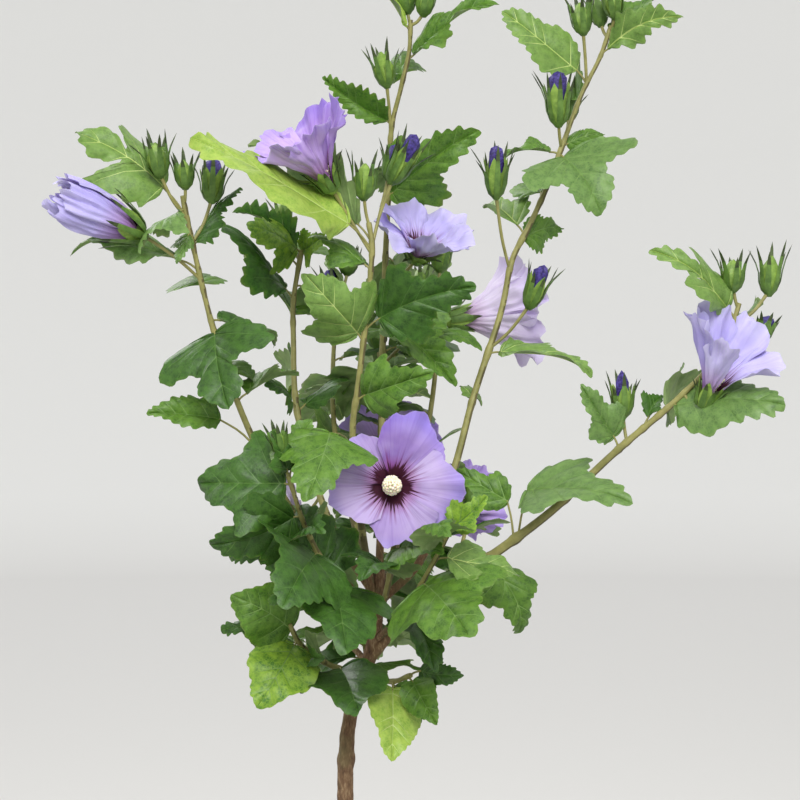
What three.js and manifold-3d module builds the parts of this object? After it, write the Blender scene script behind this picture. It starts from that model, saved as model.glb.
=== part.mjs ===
// Rose of sharon: a young potted shrub in flower, with its nursery pot.
// Millimetres, +Z up. The origin is the centre of the pot's underside, and -Y is the front.
import * as THREE from 'three';
import { mergeVertices } from 'three/addons/utils/BufferGeometryUtils.js';
import Module from 'manifold-3d';

const wasm = await Module();
wasm.setup();

// ---------------------------------------------------------------- driving dimensions
const GAP = 0.35; // clear space between neighbouring pieces
const POT = {
  height: 172, footRadius: 71, rimRadius: 94, wall: 2, floor: 3, lip: 4, lipHeight: 13,
  footEdge: 2, rimEdge: 1.5, holes: 8, holeRadius: 5, holeRing: 52, holeSides: 8, sides: 32,
};
const COMPOST = { top: 157, dome: 3, shoulder: 0.6, flatRadius: 19.2, sides: 32 };
const TRUNK = {
  route: [[-1, 0, 0], [-3, 1, 90], [-3, 1, 178], [0, 0, 216], [8, -1, 240], [14, -1, 260], [17, 0, 284],
    [18, 1, 309]],
  footRadius: 6.4, topRadius: 4.4, flare: 6.5, flareHeight: 9, sides: 8, segments: 14,
};
const BOUGH = { sides: 6, segment: 20 };
const STEM = { sides: 3, segment: 26, fewest: 5 };
const STALK = { foot: 1.1, seat: 1.25, bendAt: 0.55, droop: 0.12, sides: 3, segments: 2 };
const LEAF = { stalk: 0.6, sunk: 1.3, lift: 0.45, arch: 0.07, fold: 0.1, thick: 0.009 };
// A green cup's rings are [share of its radius, share of its length].
const CUP = { lobes: 5, spread: 2.1, sunk: 1, belly: [1, 0.26], rim: [1.02, 0.42], throat: [0.74, 0.5] };
const BUD = { body: 0.86 };
const CALYX = { radius: 5.4, length: 20, body: 12 };
const PETAL = {
  count: 5, seat: 4, foot: 1.5, curl: 0.7, thick: 1.1, shares: [0.35, 0.72, 1], notch: 0.09, ruffle: 0.03,
};
const COLUMN = { seat: 2, foot: 1.7, top: 3.8, widest: 0.8, end: 1.08, sides: 6 };
const SPARE = {
  seed: 41, seedStep: 17, stalk: 8, size: [0.8, 1.2], drop: [-0.55, 0.35], wide: [0.65, 0.95], face: 0.55,
};

// Each shoot springs from the trunk along its route. Up to `bare` it is a leafless bough, and
// from there on it is the stem of a foliage mass.
// Leaves are [at, tip, stalk, wide, face, lift]: the place along the route, the blade's tip, the
// stalk's length, the width over the length, how far the upper side turns to the front (1) or
// to the back (-1), and how steeply the stalk rises if it differs from the usual lift.
// Buds are [at, seat, tip, radius], and blooms are [at, seat, direction, size, kind].
// Spare leaves follow the seeded rule: [count, from, to, length, middle of the sector in
// degrees, half the sector].
const SHOOTS = {
  left: {
    route: [[16, 0, 440], [-16, -7, 476], [-48, -14, 527], [-69, -22, 574], [-84, -30, 622],
      [-93, -36, 661], [-101, -44, 701]],
    foot: 2.5, tip: 1.4, bare: 0.38,
    leaves: [
      [0.95, [-165, -60, 739], 24, 0.72, 0.7], [0.84, [-172, -22, 664], 14, 0.5, 0.2],
      [0.97, [-126, -62, 666], 5, 0.6, -0.3], [0.92, [-104, -58, 660], 3, 0.4, 0.6],
      [0.89, [-66, -24, 706], 3, 0.3, 0.5], [0.71, [-72, -64, 572], 3, 1.25, 0.9],
      [0.73, [-47, -6, 608], 6, 0.8, 0.5], [0.44, [-124, -38, 568], 30, 0.6, 0.5],
      [0.6, [-70, 24, 590], 10, 0.8, -0.6], [0.8, [-96, 20, 648], 8, 0.7, -0.6],
    ],
    buds: [
      [0.95, [-114, -50, 713], [-118, -56, 742], 5.2], [0.98, [-99, -44, 706], [-101, -46, 730], 4.4],
      [0.9, [-84, -30, 698], [-83, -26, 727], 5.4],
    ],
    blooms: [[0.82, [-124, -50, 677], [-0.86, -0.26, 0.42], 62, 'furled']],
    spare: [3, 0.5, 0.8, 42, 90, 60],
  },
  left_centre: {
    route: [[16, 1, 450], [-12, 18, 494], [-34, 36, 563], [-37, 46, 612], [-37, 50, 636], [-32, 56, 668]],
    foot: 2.5, tip: 1.5, bare: 0.5,
    leaves: [
      [0.86, [-94, 34, 686], 9, 0.62, 0.5], [0.95, [-77, 62, 692], 6, 0.25, 0.5],
      [0.99, [-66, 26, 684], 4, 0.8, 0.8], [0.99, [-16, 34, 678], 3, 0.8, 0.8],
      [0.56, [-54, 8, 584], 8, 0.8, 0.6], [0.55, [-2, 62, 584], 8, 0.7, 0.3],
      [0.6, [-52, 92, 600], 10, 0.8, -0.7], [0.8, [-50, 106, 640], 10, 0.8, -0.7],
      [0.97, [-34, 104, 668], 8, 0.8, -0.5],
    ],
    buds: [[0.97, [-44, 72, 684], [-46, 80, 708], 4.2]],
    blooms: [],
    spare: [4, 0.55, 0.95, 46, 100, 60],
  },
  centre: {
    route: [[16, 0, 438], [6, -11, 507], [2, -16, 559], [5, -18, 581], [10, -20, 624], [14, -22, 670],
      [12, -22, 685]],
    foot: 2.6, tip: 1.5, bare: 0.42,
    leaves: [
      [0.93, [-94, -72, 735], 22, 0.5, 0.75], [0.95, [-63, -18, 733], 14, 0.2, 0.2],
      [0.88, [-26, 0, 676], 6, 0.6, 0.5], [0.7, [-27, -50, 654], 7, 0.85, 0.8],
      [0.73, [78, -34, 646], 12, 0.62, 0.7], [0.55, [52, -46, 594], 8, 0.62, 0.8],
      [0.44, [-24, -100, 520], 50, 0.95, 0.85, 0.5],
    ],
    buds: [
      [0.99, [9, -24, 700], [10, -27, 731], 5.4], [0.94, [26, -16, 710], [44, -24, 742], 5.4],
      [0.94, [24, -12, 712], [30, -10, 736], 4.2],
    ],
    blooms: [[0.92, [-9, -30, 703], [-0.47, -0.34, 0.82], 56, 'funnel']],
    spare: [0, 0.5, 0.9, 46, 100, 60],
  },
  crown: {
    route: [[17, 0, 440], [20, 24, 522], [20, 40, 589], [21, 44, 636], [22, 46, 664], [24, 42, 706],
      [26, 38, 746], [32, 34, 771], [37, 30, 793], [38, 28, 813]],
    foot: 2.7, tip: 1.3, bare: 0.34,
    leaves: [
      [0.51, [66, 10, 582], 12, 0.7, 0.8], [0.44, [84, 46, 604], 10, 0.45, 0.4],
      [0.7, [81, 12, 743], 4, 0.55, 0.6], [0.82, [-18, 28, 777], 4, 0.45, 0.6],
      [0.98, [6, 18, 832], 5, 0.5, 0.6], [0.93, [94, 24, 822], 6, 0.3, 0.4],
      [0.4, [-6, 84, 560], 10, 0.8, -0.6], [0.6, [44, 92, 628], 10, 0.8, -0.7],
      [0.75, [26, 88, 700], 8, 0.7, -0.6], [0.9, [34, 74, 790], 6, 0.6, -0.5],
    ],
    buds: [
      [0.99, [46, 26, 816], [50, 24, 843], 4.6], [0.8, [23, 34, 772], [17, 32, 803], 5.0],
      [0.99, [36, 32, 818], [32, 30, 846], 4.6],
    ],
    blooms: [
      [0.55, [40, 14, 660], [0.34, -0.52, 0.78], 42, 'tilted'],
      [0.42, [60, 70, 622], [0.93, 0.3, 0.12], 54, 'side'],
    ],
    spare: [4, 0.36, 0.72, 44, 90, 50],
  },
  right: {
    route: [[17, 0, 446], [44, 5, 473], [65, 18, 528], [78, 28, 575], [96, 38, 630], [103, 42, 662],
      [114, 44, 684], [125, 46, 708], [134, 48, 732], [148, 50, 769], [159, 50, 791], [166, 50, 811]],
    foot: 2.7, tip: 1.3, bare: 0.33,
    leaves: [
      [0.64, [86, 86, 695], 10, 0.6, 0.5], [0.63, [136, 66, 682], 4, 0.6, 0.5],
      [0.78, [158, 20, 690], 4, 1.5, 0.85], [0.78, [96, 62, 724], 6, 0.5, 0.5],
      [0.79, [163, 62, 742], 5, 0.5, 0.4], [0.9, [96, 34, 820], 10, 0.62, 0.7],
      [0.95, [211, 34, 815], 6, 0.4, 0.5], [0.97, [204, 72, 832], 8, 0.4, 0.5],
      [0.44, [153, 22, 588], 8, 0.5, 0.5], [0.36, [76, 66, 572], 8, 0.5, 0.3],
      [0.7, [124, 96, 712], 10, 0.7, -0.6],
      [0.86, [150, 94, 770], 8, 0.6, -0.6],
    ],
    buds: [
      [0.58, [92, 30, 702], [92, 26, 738], 5.2], [0.79, [132, 40, 748], [131, 36, 786], 5.8],
      [0.9, [148, 46, 806], [144, 44, 834], 4.8], [0.99, [168, 46, 816], [164, 44, 845], 4.8],
      [0.45, [113, 30, 632], [124, 26, 662], 5.0], [0.98, [160, 58, 812], [156, 64, 838], 4.2],
      [0.8, [140, 64, 752], [142, 76, 778], 4.4],
    ],
    blooms: [],
    spare: [3, 0.36, 0.7, 42, 80, 50],
  },
  low_right: {
    route: [[13, -1, 413], [36, -7, 441], [62, -16, 460], [89, -24, 480], [123, -36, 507],
      [163, -50, 546], [202, -60, 581], [226, -62, 608], [236, -60, 636]],
    foot: 3.8, tip: 1.3, bare: 0.28,
    leaves: [
      [0.64, [140, -62, 587], 8, 0.65, 0.6], [0.7, [194, -42, 579], 8, 0.5, 0.5],
      [0.76, [260, -92, 576], 5, 0.75, 0.8], [0.97, [180, -78, 668], 8, 0.42, 0.6],
      [0.38, [171, -62, 516], 30, 0.68, 0.8, 4], [0.37, [66, -14, 531], 24, 0.6, 0.6, 4],
      [0.31, [104, -4, 428], 10, 0.6, 0.6], [0.5, [142, 8, 520], 10, 0.7, -0.6],
      [0.74, [226, -14, 590], 8, 0.7, -0.6], [0.9, [256, -16, 636], 8, 0.6, -0.5],
    ],
    buds: [
      [0.66, [167, -48, 567], [166, -48, 596], 5.0], [0.99, [232, -62, 644], [231, -64, 671], 5.2],
      [0.96, [254, -56, 642], [257, -54, 675], 5.0], [0.93, [250, -50, 613], [256, -46, 630], 4.0],
    ],
    blooms: [[0.8, [213, -70, 572], [0.3, -0.28, 0.91], 60, 'cup']],
    spare: [3, 0.32, 0.6, 40, 90, 50],
  },
  front: {
    route: [[17, 0, 434], [24, -22, 462], [28, -34, 494], [27, -40, 518]],
    foot: 2.2, tip: 1.5, bare: 0.4,
    leaves: [[0.45, [8, -80, 470], 8, 0.8, 0.8], [0.6, [58, -70, 486], 8, 0.7, 0.7]],
    buds: [],
    blooms: [[0.98, [26, -46, 525], [0.02, -1, 0.06], 44, 'open']],
    spare: [0, 0.5, 0.9, 40, -90, 60],
  },
  front_left: {
    route: [[16, 0, 428], [-4, -32, 456], [-26, -58, 500], [-36, -66, 532]],
    foot: 2.2, tip: 1.3, bare: 0.3,
    leaves: [
      [0.6, [-38, -116, 458], 6, 1.0, 0.9], [0.4, [0, -110, 430], 6, 1.0, 0.9],
      [0.95, [-92, -46, 526], 4, 1.0, 0.85], [0.8, [-84, -60, 490], 4, 0.95, 0.85],
      [0.6, [-74, -28, 478], 8, 0.6, 0.5], [0.98, [-46, -92, 560], 6, 0.7, 0.6],
      [0.99, [-22, -80, 566], 6, 0.7, 0.5], [0.7, [-14, -98, 500], 6, 0.8, 0.8],
    ],
    buds: [[0.99, [-40, -70, 546], [-44, -76, 566], 3.8]],
    blooms: [],
    spare: [2, 0.4, 0.9, 44, 200, 40],
  },
  front_right: {
    route: [[15, 0, 422], [34, -34, 446], [50, -58, 476], [62, -66, 500]],
    foot: 2.2, tip: 1.3, bare: 0.3,
    leaves: [
      [0.62, [72, -126, 442], 8, 0.95, 0.9], [0.96, [84, -76, 520], 6, 0.8, 0.8],
      [0.4, [52, -74, 414], 6, 0.8, 0.8], [0.8, [104, -60, 470], 8, 0.8, 0.6],
      [0.9, [60, -116, 500], 8, 0.7, 0.7],
    ],
    buds: [],
    blooms: [],
    spare: [2, 0.4, 0.9, 44, -20, 40],
  },
  low_left: {
    route: [[9, -1, 402], [-12, -17, 410], [-30, -27, 424], [-37, -32, 438]],
    foot: 2.1, tip: 1.4, bare: 0,
    leaves: [
      [0.9, [-72, -48, 458], 3, 1.1, 0.85], [0.9, [-80, -20, 432], 10, 0.4, 0.6],
      [0.8, [-56, -66, 390], 4, 1.05, 0.85], [0.6, [-30, -16, 392], 4, 0.8, 0.6],
      [0.3, [6, -72, 388], 6, 1.0, 0.9], [0.5, [-14, -70, 420], 6, 0.9, 0.85],
      [0.7, [-62, 6, 420], 10, 0.8, -0.4],
    ],
    buds: [],
    blooms: [],
    spare: [0, 0.5, 0.9, 40, 180, 50],
  },
  low_front: {
    route: [[10, -1, 405], [25, -18, 400], [38, -32, 406]],
    foot: 2.0, tip: 1.4, bare: 0,
    leaves: [
      [0.9, [54, -50, 378], 6, 0.8, 0.8], [0.6, [26, -58, 357], 8, 0.85, 0.9],
      [0.97, [70, -50, 408], 8, 0.8, 0.6], [0.4, [44, -12, 372], 8, 0.8, 0.4],
    ],
    buds: [],
    blooms: [],
    spare: [0, 0.5, 0.9, 40, -60, 50],
  },
  rear_left: {
    route: [[17, 1, 454], [0, 40, 500], [-12, 82, 556], [-12, 110, 612], [-8, 122, 642]],
    foot: 2.3, tip: 1.3, bare: 0.3,
    leaves: [[0.97, [-20, 160, 660], 6, 0.7, -0.7], [0.9, [2, 158, 630], 6, 0.7, -0.7]],
    buds: [[0.97, [-4, 128, 652], [-2, 130, 674], 4.8], [0.86, [-14, 126, 634], [-16, 134, 658], 4.6]],
    blooms: [[0.5, [-34, 98, 488], [-0.5, 0.84, 0.12], 44, 'side']],
    spare: [16, 0.32, 0.95, 50, 100, 130],
  },
  rear_right: {
    route: [[17, 0, 442], [34, 42, 496], [50, 78, 556], [56, 108, 612], [54, 120, 642]],
    foot: 2.3, tip: 1.3, bare: 0.3,
    leaves: [[0.97, [66, 152, 660], 6, 0.7, -0.7], [0.9, [40, 156, 634], 6, 0.7, -0.7]],
    buds: [[0.97, [58, 124, 654], [60, 128, 680], 5.0], [0.88, [46, 124, 640], [42, 132, 662], 4.6]],
    blooms: [[0.45, [60, 92, 494], [0.42, 0.88, 0.16], 46, 'funnel']],
    spare: [16, 0.32, 0.95, 50, 80, 130],
  },
  rear_mid: {
    route: [[15, 0, 426], [18, 48, 462], [18, 98, 506], [18, 134, 556], [20, 146, 588]],
    foot: 2.3, tip: 1.3, bare: 0.3,
    leaves: [[0.97, [4, 184, 604], 6, 0.7, -0.8], [0.95, [44, 172, 606], 6, 0.7, -0.7]],
    buds: [[0.98, [16, 152, 602], [14, 158, 628], 5.2], [0.96, [28, 150, 598], [34, 156, 620], 4.6]],
    blooms: [[0.8, [20, 150, 528], [0.1, 0.98, 0.05], 43, 'open']],
    spare: [16, 0.32, 0.95, 52, 90, 130],
  },
  side_right: {
    route: [[12, -1, 414], [40, 34, 436], [66, 66, 462], [76, 86, 490]],
    foot: 2.1, tip: 1.2, bare: 0.3,
    leaves: [],
    buds: [[0.98, [78, 92, 502], [80, 98, 524], 4.0]],
    blooms: [],
    spare: [14, 0.34, 0.98, 50, 50, 100],
  },
  side_left: {
    route: [[11, -1, 409], [-14, 34, 432], [-40, 64, 464], [-50, 84, 496]],
    foot: 2.1, tip: 1.2, bare: 0.3,
    leaves: [],
    buds: [[0.98, [-52, 90, 508], [-56, 96, 530], 4.0]],
    blooms: [],
    spare: [14, 0.34, 0.98, 50, 130, 100],
  },
  low_rear: {
    route: [[7, -1, 398], [10, 30, 402], [8, 58, 418], [6, 74, 438]],
    foot: 2.1, tip: 1.4, bare: 0,
    leaves: [],
    buds: [],
    blooms: [],
    spare: [12, 0.3, 0.98, 46, 90, 130],
  },
};

// The dense part of the crown: [height, left edge, right edge].
const CROWN_WIDTH = [
  [372, -15, 45], [400, -50, 60], [430, -60, 80], [460, -45, 100], [500, -78, 100], [525, -78, 84],
  [545, -35, 72], [580, -46, 74], [612, -14, 68], [668, -20, 72],
];

// Half widths of a three-lobed blade along its midrib: [midrib, edge, half width].
const BLADE = [[0, 0, 0], [0.3, 0.4, 1], [0.6, 0.6, 0.55], [1, 1, 0]];

// How each kind of bloom opens: the petals' angle to the bloom's axis at foot and tip, in
// degrees, the share of the petal's length that the stamens reach, and the corolla's sides.
const BLOOM_KINDS = {
  open: { foot: 34, end: 98, column: 0.62, sides: 20 },
  tilted: { foot: 30, end: 84, column: 0.5, sides: 20 },
  side: { foot: 14, end: 58, column: 0.6, sides: 10 },
  funnel: { foot: 10, end: 46, column: 0.5, sides: 10 },
  cup: { foot: 12, end: 30, column: 0.5, sides: 10 },
  furled: { foot: 9, end: 4, column: 0.4, sides: 10 },
};

// ---------------------------------------------------------------- small helpers
const UP = new THREE.Vector3(0, 0, 1);
const ASKEW = new THREE.Vector3(0.31, 0.92, 0.24); // a direction that no limb runs along
const point = ([x, y, z]) => new THREE.Vector3(x, y, z);
const mix = THREE.MathUtils.lerp;

// A repeatable stream of numbers from 0 to 1.
function randomStream(seed) {
  let state = seed >>> 0;
  return () => {
    state = (Math.imul(state, 1664525) + 1013904223) >>> 0;
    return state / 4294967296;
  };
}

// A closed three.js geometry as a solid that can be joined and cut.
function solidOf(geometry) {
  geometry.deleteAttribute('normal');
  geometry.deleteAttribute('uv');
  const merged = mergeVertices(geometry, 1e-4);
  return new wasm.Manifold(new wasm.Mesh({
    numProp: 3,
    vertProperties: Float32Array.from(merged.attributes.position.array),
    triVerts: Uint32Array.from(merged.index.array),
  }));
}

// The largest closed body of a solid, without loose scraps or sealed hollows.
function largest(solid) {
  const bodies = solid.decompose();
  return bodies.reduce((best, body) => (body.volume() > best.volume() ? body : best));
}

const joined = (solids) => largest(solids.reduce((sum, next) => sum.add(next)));
const curveOf = (points) => new THREE.CatmullRomCurve3(points, false, 'centripetal');

// ---------------------------------------------------------------- shapes
// A round bar that follows a curve from one share of its length to another.
function limb(curve, from, to, radiusAt, sides, segments) {
  const geometry = new THREE.CylinderGeometry(1, 1, 1, sides, segments);
  const places = geometry.attributes.position;
  const rings = [];
  let across = ASKEW;
  for (let ring = 0; ring <= segments; ring += 1) {
    const at = mix(from, to, ring / segments);
    const along = curve.getTangentAt(at);
    across = across.clone().addScaledVector(along, -across.dot(along)).normalize();
    const over = across.clone().cross(along);
    rings.push({ centre: curve.getPointAt(at), across, over, radius: radiusAt(at) });
  }
  for (let i = 0; i < places.count; i += 1) {
    const ring = rings[Math.round((places.getY(i) + 0.5) * segments)];
    const spot = ring.centre.clone();
    spot.addScaledVector(ring.across, places.getX(i) * ring.radius);
    spot.addScaledVector(ring.over, places.getZ(i) * ring.radius);
    places.setXYZ(i, spot.x, spot.y, spot.z);
  }
  return solidOf(geometry);
}

// A thin solid with a sharp rim from rows of points, thickest inside. A row may be one point.
function blade(rows, half) {
  const columns = Math.max(...rows.map((row) => row.length));
  const spots = [];
  const place = (vector) => spots.push(vector.x, vector.y, vector.z) / 3 - 1;
  const at = (i, j) => rows[i][Math.min(j, rows[i].length - 1)];
  const faces = [[], []];
  rows.forEach((row, i) => {
    const onRim = i === 0 || i === rows.length - 1;
    const made = row.map((spot, j) => {
      if (onRim || j === 0 || j === columns - 1) {
        const rim = place(spot);
        return [rim, rim];
      }
      const lengthways = at(i + 1, j).clone().sub(at(i - 1, j));
      const crossways = at(i, j + 1).clone().sub(at(i, j - 1));
      const rise = lengthways.cross(crossways).normalize().multiplyScalar(half);
      return [place(spot.clone().add(rise)), place(spot.clone().sub(rise))];
    });
    faces[0].push(made.map((pair) => pair[0]));
    faces[1].push(made.map((pair) => pair[1]));
  });
  const triangles = [];
  const face = (a, b, c) => {
    if (a !== b && b !== c && c !== a) triangles.push(a, b, c);
  };
  faces.forEach((grid, side) => {
    const corner = (i, j) => grid[i][Math.min(j, grid[i].length - 1)];
    for (let i = 0; i < rows.length - 1; i += 1) {
      for (let j = 0; j < columns - 1; j += 1) {
        const [a, b, c, d] = [corner(i, j), corner(i + 1, j), corner(i + 1, j + 1), corner(i, j + 1)];
        const split = j < (columns - 1) / 2 ? [[a, b, c], [a, c, d]] : [[a, b, d], [b, c, d]];
        split.forEach(([p, q, r]) => (side === 0 ? face(p, q, r) : face(p, r, q)));
      }
    }
  });
  const geometry = new THREE.BufferGeometry();
  geometry.setAttribute('position', new THREE.Float32BufferAttribute(spots, 3));
  geometry.setIndex(triangles);
  return solidOf(geometry);
}

// A leaf on its stalk. `grow` makes the same leaf stouter, to test the space round it, and
// without its stalk it is the blade alone.
function leafSolid(root, { tip, stalk, wide, face, lift }, grow = 0, withStalk = true) {
  const toTip = tip.clone().sub(root).normalize();
  const rise = toTip.clone().addScaledVector(UP, lift).normalize();
  const foot = root.clone().addScaledVector(rise, stalk);
  const along = tip.clone().sub(foot);
  const length = along.length() + grow;
  along.normalize();
  const upper = new THREE.Vector3(0, -face, 1 - Math.abs(face));
  upper.addScaledVector(along, -upper.dot(along)).normalize();
  const side = along.clone().cross(upper);
  const rows = BLADE.map(([mid, edge, width]) => {
    const halfWidth = width ? width * wide * length * 0.5 + grow : LEAF.stalk + grow;
    const spot = (share, out) => {
      const bulge = LEAF.arch * 4 * share * (1 - share) - LEAF.fold * width * out * out;
      return foot.clone()
        .addScaledVector(along, share * length)
        .addScaledVector(side, out * halfWidth)
        .addScaledVector(upper, bulge * length);
    };
    return mid < 1 ? [spot(edge, -1), spot(mid, 0), spot(edge, 1)] : [spot(mid, 0)];
  });
  if (!withStalk) rows[0] = [rows[0][1]];
  else rows.unshift([root.clone().addScaledVector(rise, -LEAF.sunk)]);
  return blade(rows, Math.max(LEAF.stalk, length * LEAF.thick) + grow);
}

// A solid of revolution about the line from one point to another. `shape` may move a corner
// of ring `ring` on side `side`, which is given as [radius, height].
function turned(profile, from, to, sides, shape = null) {
  const geometry = new THREE.LatheGeometry(profile.map(([r, h]) => new THREE.Vector2(r, h)), sides);
  const places = geometry.attributes.position;
  for (let i = 0; shape && i < places.count; i += 1) {
    const ring = i % profile.length;
    const side = Math.floor(i / profile.length) % sides;
    const turn = (side * 2 * Math.PI) / sides;
    const [radius, height] = shape(ring, side, profile[ring]);
    places.setXYZ(i, radius * Math.sin(turn), height, radius * Math.cos(turn));
  }
  const axis = to.clone().sub(from).normalize();
  geometry.applyQuaternion(new THREE.Quaternion().setFromUnitVectors(new THREE.Vector3(0, 1, 0), axis));
  geometry.translate(from.x, from.y, from.z);
  return solidOf(geometry);
}

// A green cup with pointed lobes and a closed body inside them: a bud, or a bloom's foot.
function cupSolid(seat, tip, radius, length, body) {
  const rings = [CUP.belly, CUP.rim, CUP.throat].map(([out, up]) => [radius * out, length * up]);
  const profile = [[0, -CUP.sunk], ...rings, [0, body]];
  const rim = 2;
  return turned(profile, seat, tip, CUP.lobes * 2, (ring, side, [r, h]) => (
    ring === rim && side % 2 === 0 ? [r * CUP.spread, length] : [r, h]));
}

function budSolid(seat, tip, radius) {
  const length = seat.distanceTo(tip);
  return cupSolid(seat, tip, radius, length, length * BUD.body);
}

// A bloom: a thin five-lobed corolla on its green cup, with its column of stamens.
function bloomSolid(seat, direction, size, kindName) {
  const kind = BLOOM_KINDS[kindName];
  const tip = seat.clone().add(direction.clone().normalize());
  const back = [[0, PETAL.seat]];
  const front = [];
  let [radius, height] = [PETAL.foot, PETAL.seat];
  PETAL.shares.forEach((share, i) => {
    const lean = THREE.MathUtils.degToRad(mix(kind.foot, kind.end, share ** PETAL.curl));
    const run = size * (share - (PETAL.shares[i - 1] ?? 0));
    radius += Math.sin(lean) * run;
    height += Math.cos(lean) * run;
    back.push([radius, height]);
    if (share < 1) {
      front.unshift([radius - PETAL.thick * Math.cos(lean), height + PETAL.thick * Math.sin(lean)]);
    }
  });
  const profile = [...back, ...front, [0, PETAL.seat + 2 * PETAL.thick]];
  const rim = back.length - 1;
  const wave = (ring, side, [r, h]) => {
    const share = 1 - Math.abs(ring - rim) / rim;
    const petal = Math.cos((side / kind.sides) * PETAL.count * 2 * Math.PI);
    return [r * (1 + PETAL.notch * share * petal), h + PETAL.ruffle * share * size * petal];
  };
  const reach = size * kind.column;
  const column = [
    [0, COLUMN.seat], [COLUMN.foot, PETAL.seat], [COLUMN.top, reach * COLUMN.widest],
    [0, reach * COLUMN.end],
  ];
  return [
    turned(profile, seat, tip, kind.sides, wave),
    cupSolid(seat, tip, CALYX.radius, CALYX.length, CALYX.body),
    turned(column, seat, tip, COLUMN.sides),
  ];
}

// The stalk of a bud or a bloom, which leaves the stem sideways and turns up to its seat.
function flowerStalk(from, seat, axis) {
  const bend = from.clone().lerp(seat, STALK.bendAt);
  bend.addScaledVector(axis, -seat.distanceTo(from) * STALK.droop);
  const curve = curveOf([from, bend, seat.clone().addScaledVector(axis, CUP.sunk)]);
  return limb(curve, 0, 1, (at) => mix(STALK.foot, STALK.seat, at), STALK.sides, STALK.segments);
}

// ---------------------------------------------------------------- pieces in place
const group = new THREE.Group();
const placed = []; // every piece so far: the node it belongs to, its solid and its box

function settle(node, solid) {
  const { min, max } = solid.boundingBox();
  placed.push({ node, solid, min, max });
  return solid;
}

// True where a solid keeps out of every piece of the other nodes.
function isClear(node, solid) {
  const box = solid.boundingBox();
  return placed.every((other) => {
    if (other.node === node) return true;
    const apart = [0, 1, 2].some((k) => box.min[k] > other.max[k] || box.max[k] < other.min[k]);
    return apart || solid.intersect(other.solid).isEmpty();
  });
}

function addMesh(name, solid, finish) {
  const { vertProperties, triVerts } = solid.getMesh();
  const geometry = new THREE.BufferGeometry();
  geometry.setAttribute('position', new THREE.Float32BufferAttribute(vertProperties, 3));
  geometry.setIndex(Array.from(triVerts));
  geometry.computeVertexNormals();
  const mesh = new THREE.Mesh(geometry, finish);
  mesh.name = name;
  group.add(mesh);
}

const finishes = {
  pot: new THREE.MeshStandardMaterial({ color: '#2c2b2a', roughness: 0.55, metalness: 0 }),
  compost: new THREE.MeshStandardMaterial({ color: '#3a2a1e', roughness: 0.95, metalness: 0 }),
  bark: new THREE.MeshStandardMaterial({ color: '#7a5f43', roughness: 0.9, metalness: 0 }),
  stem: new THREE.MeshStandardMaterial({ color: '#8c8b4e', roughness: 0.7, metalness: 0 }),
  foliage: new THREE.MeshStandardMaterial({ color: '#5c8f45', roughness: 0.6, metalness: 0 }),
};

// ---------------------------------------------------------------- pot and compost
// The radius of the pot's outer wall at a height, without its lip.
function wallAt(z) {
  return POT.footRadius + ((POT.rimRadius - POT.lip - POT.footRadius) * z) / POT.height;
}

function potSolid() {
  const { height, footRadius, rimRadius, wall, floor, lipHeight, footEdge, rimEdge } = POT;
  const profile = [
    [0, 0], [footRadius - footEdge, 0], [footRadius, footEdge],
    [wallAt(height - lipHeight), height - lipHeight], [rimRadius, height - lipHeight],
    [rimRadius, height - rimEdge], [rimRadius - rimEdge, height],
    [wallAt(height) - wall, height], [wallAt(floor) - wall, floor], [0, floor],
  ];
  let pot = turned(profile, new THREE.Vector3(), UP, POT.sides);
  for (let k = 0; k < POT.holes; k += 1) {
    const turn = (k * 2 * Math.PI) / POT.holes;
    const drill = new THREE.CylinderGeometry(POT.holeRadius, POT.holeRadius, 4 * floor, POT.holeSides);
    drill.rotateX(Math.PI / 2);
    drill.translate(POT.holeRing * Math.cos(turn), POT.holeRing * Math.sin(turn), floor / 2);
    pot = pot.subtract(solidOf(drill));
  }
  return pot;
}

function compostSolid() {
  const { top, dome, shoulder, flatRadius, sides } = COMPOST;
  const inside = (z) => wallAt(z) - POT.wall - GAP * 2;
  const bottom = POT.floor + GAP;
  const profile = [
    [0, bottom], [inside(bottom), bottom], [inside(top), top],
    [inside(top) * shoulder, top + dome * shoulder], [flatRadius, top + dome], [0, top + dome],
  ];
  return turned(profile, new THREE.Vector3(), UP, sides);
}

addMesh('pot', settle('pot', potSolid()), finishes.pot);
addMesh('compost', settle('compost', compostSolid()), finishes.compost);

// ---------------------------------------------------------------- trunk and boughs
const trunkFoot = COMPOST.top + COMPOST.dome + GAP;
const trunkCurve = curveOf(TRUNK.route.map(([x, y, z]) => new THREE.Vector3(x, y, z + trunkFoot)));
const trunkLength = trunkCurve.getLength();

function trunkSolid(grow) {
  const radiusAt = (at) => mix(TRUNK.footRadius, TRUNK.topRadius, at) + grow
    + TRUNK.flare * Math.exp((-at * trunkLength) / TRUNK.flareHeight);
  return limb(trunkCurve, 0, 1, radiusAt, TRUNK.sides, TRUNK.segments);
}

addMesh('trunk', settle('trunk', trunkSolid(0)), finishes.bark);

const taken = [trunkSolid(GAP)]; // stouter copies of the limbs, which later limbs are cut by
const cutClear = (solid) => largest(taken.reduce((rest, other) => rest.subtract(other), solid));

const shoots = Object.entries(SHOOTS).map(([name, shoot]) => {
  const curve = curveOf(shoot.route.map(point));
  const length = curve.getLength();
  const radiusAt = (at) => mix(shoot.foot, shoot.tip, at);
  return { name, node: `foliage_${name}`, ...shoot, curve, length, radiusAt, parts: [] };
});

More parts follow.
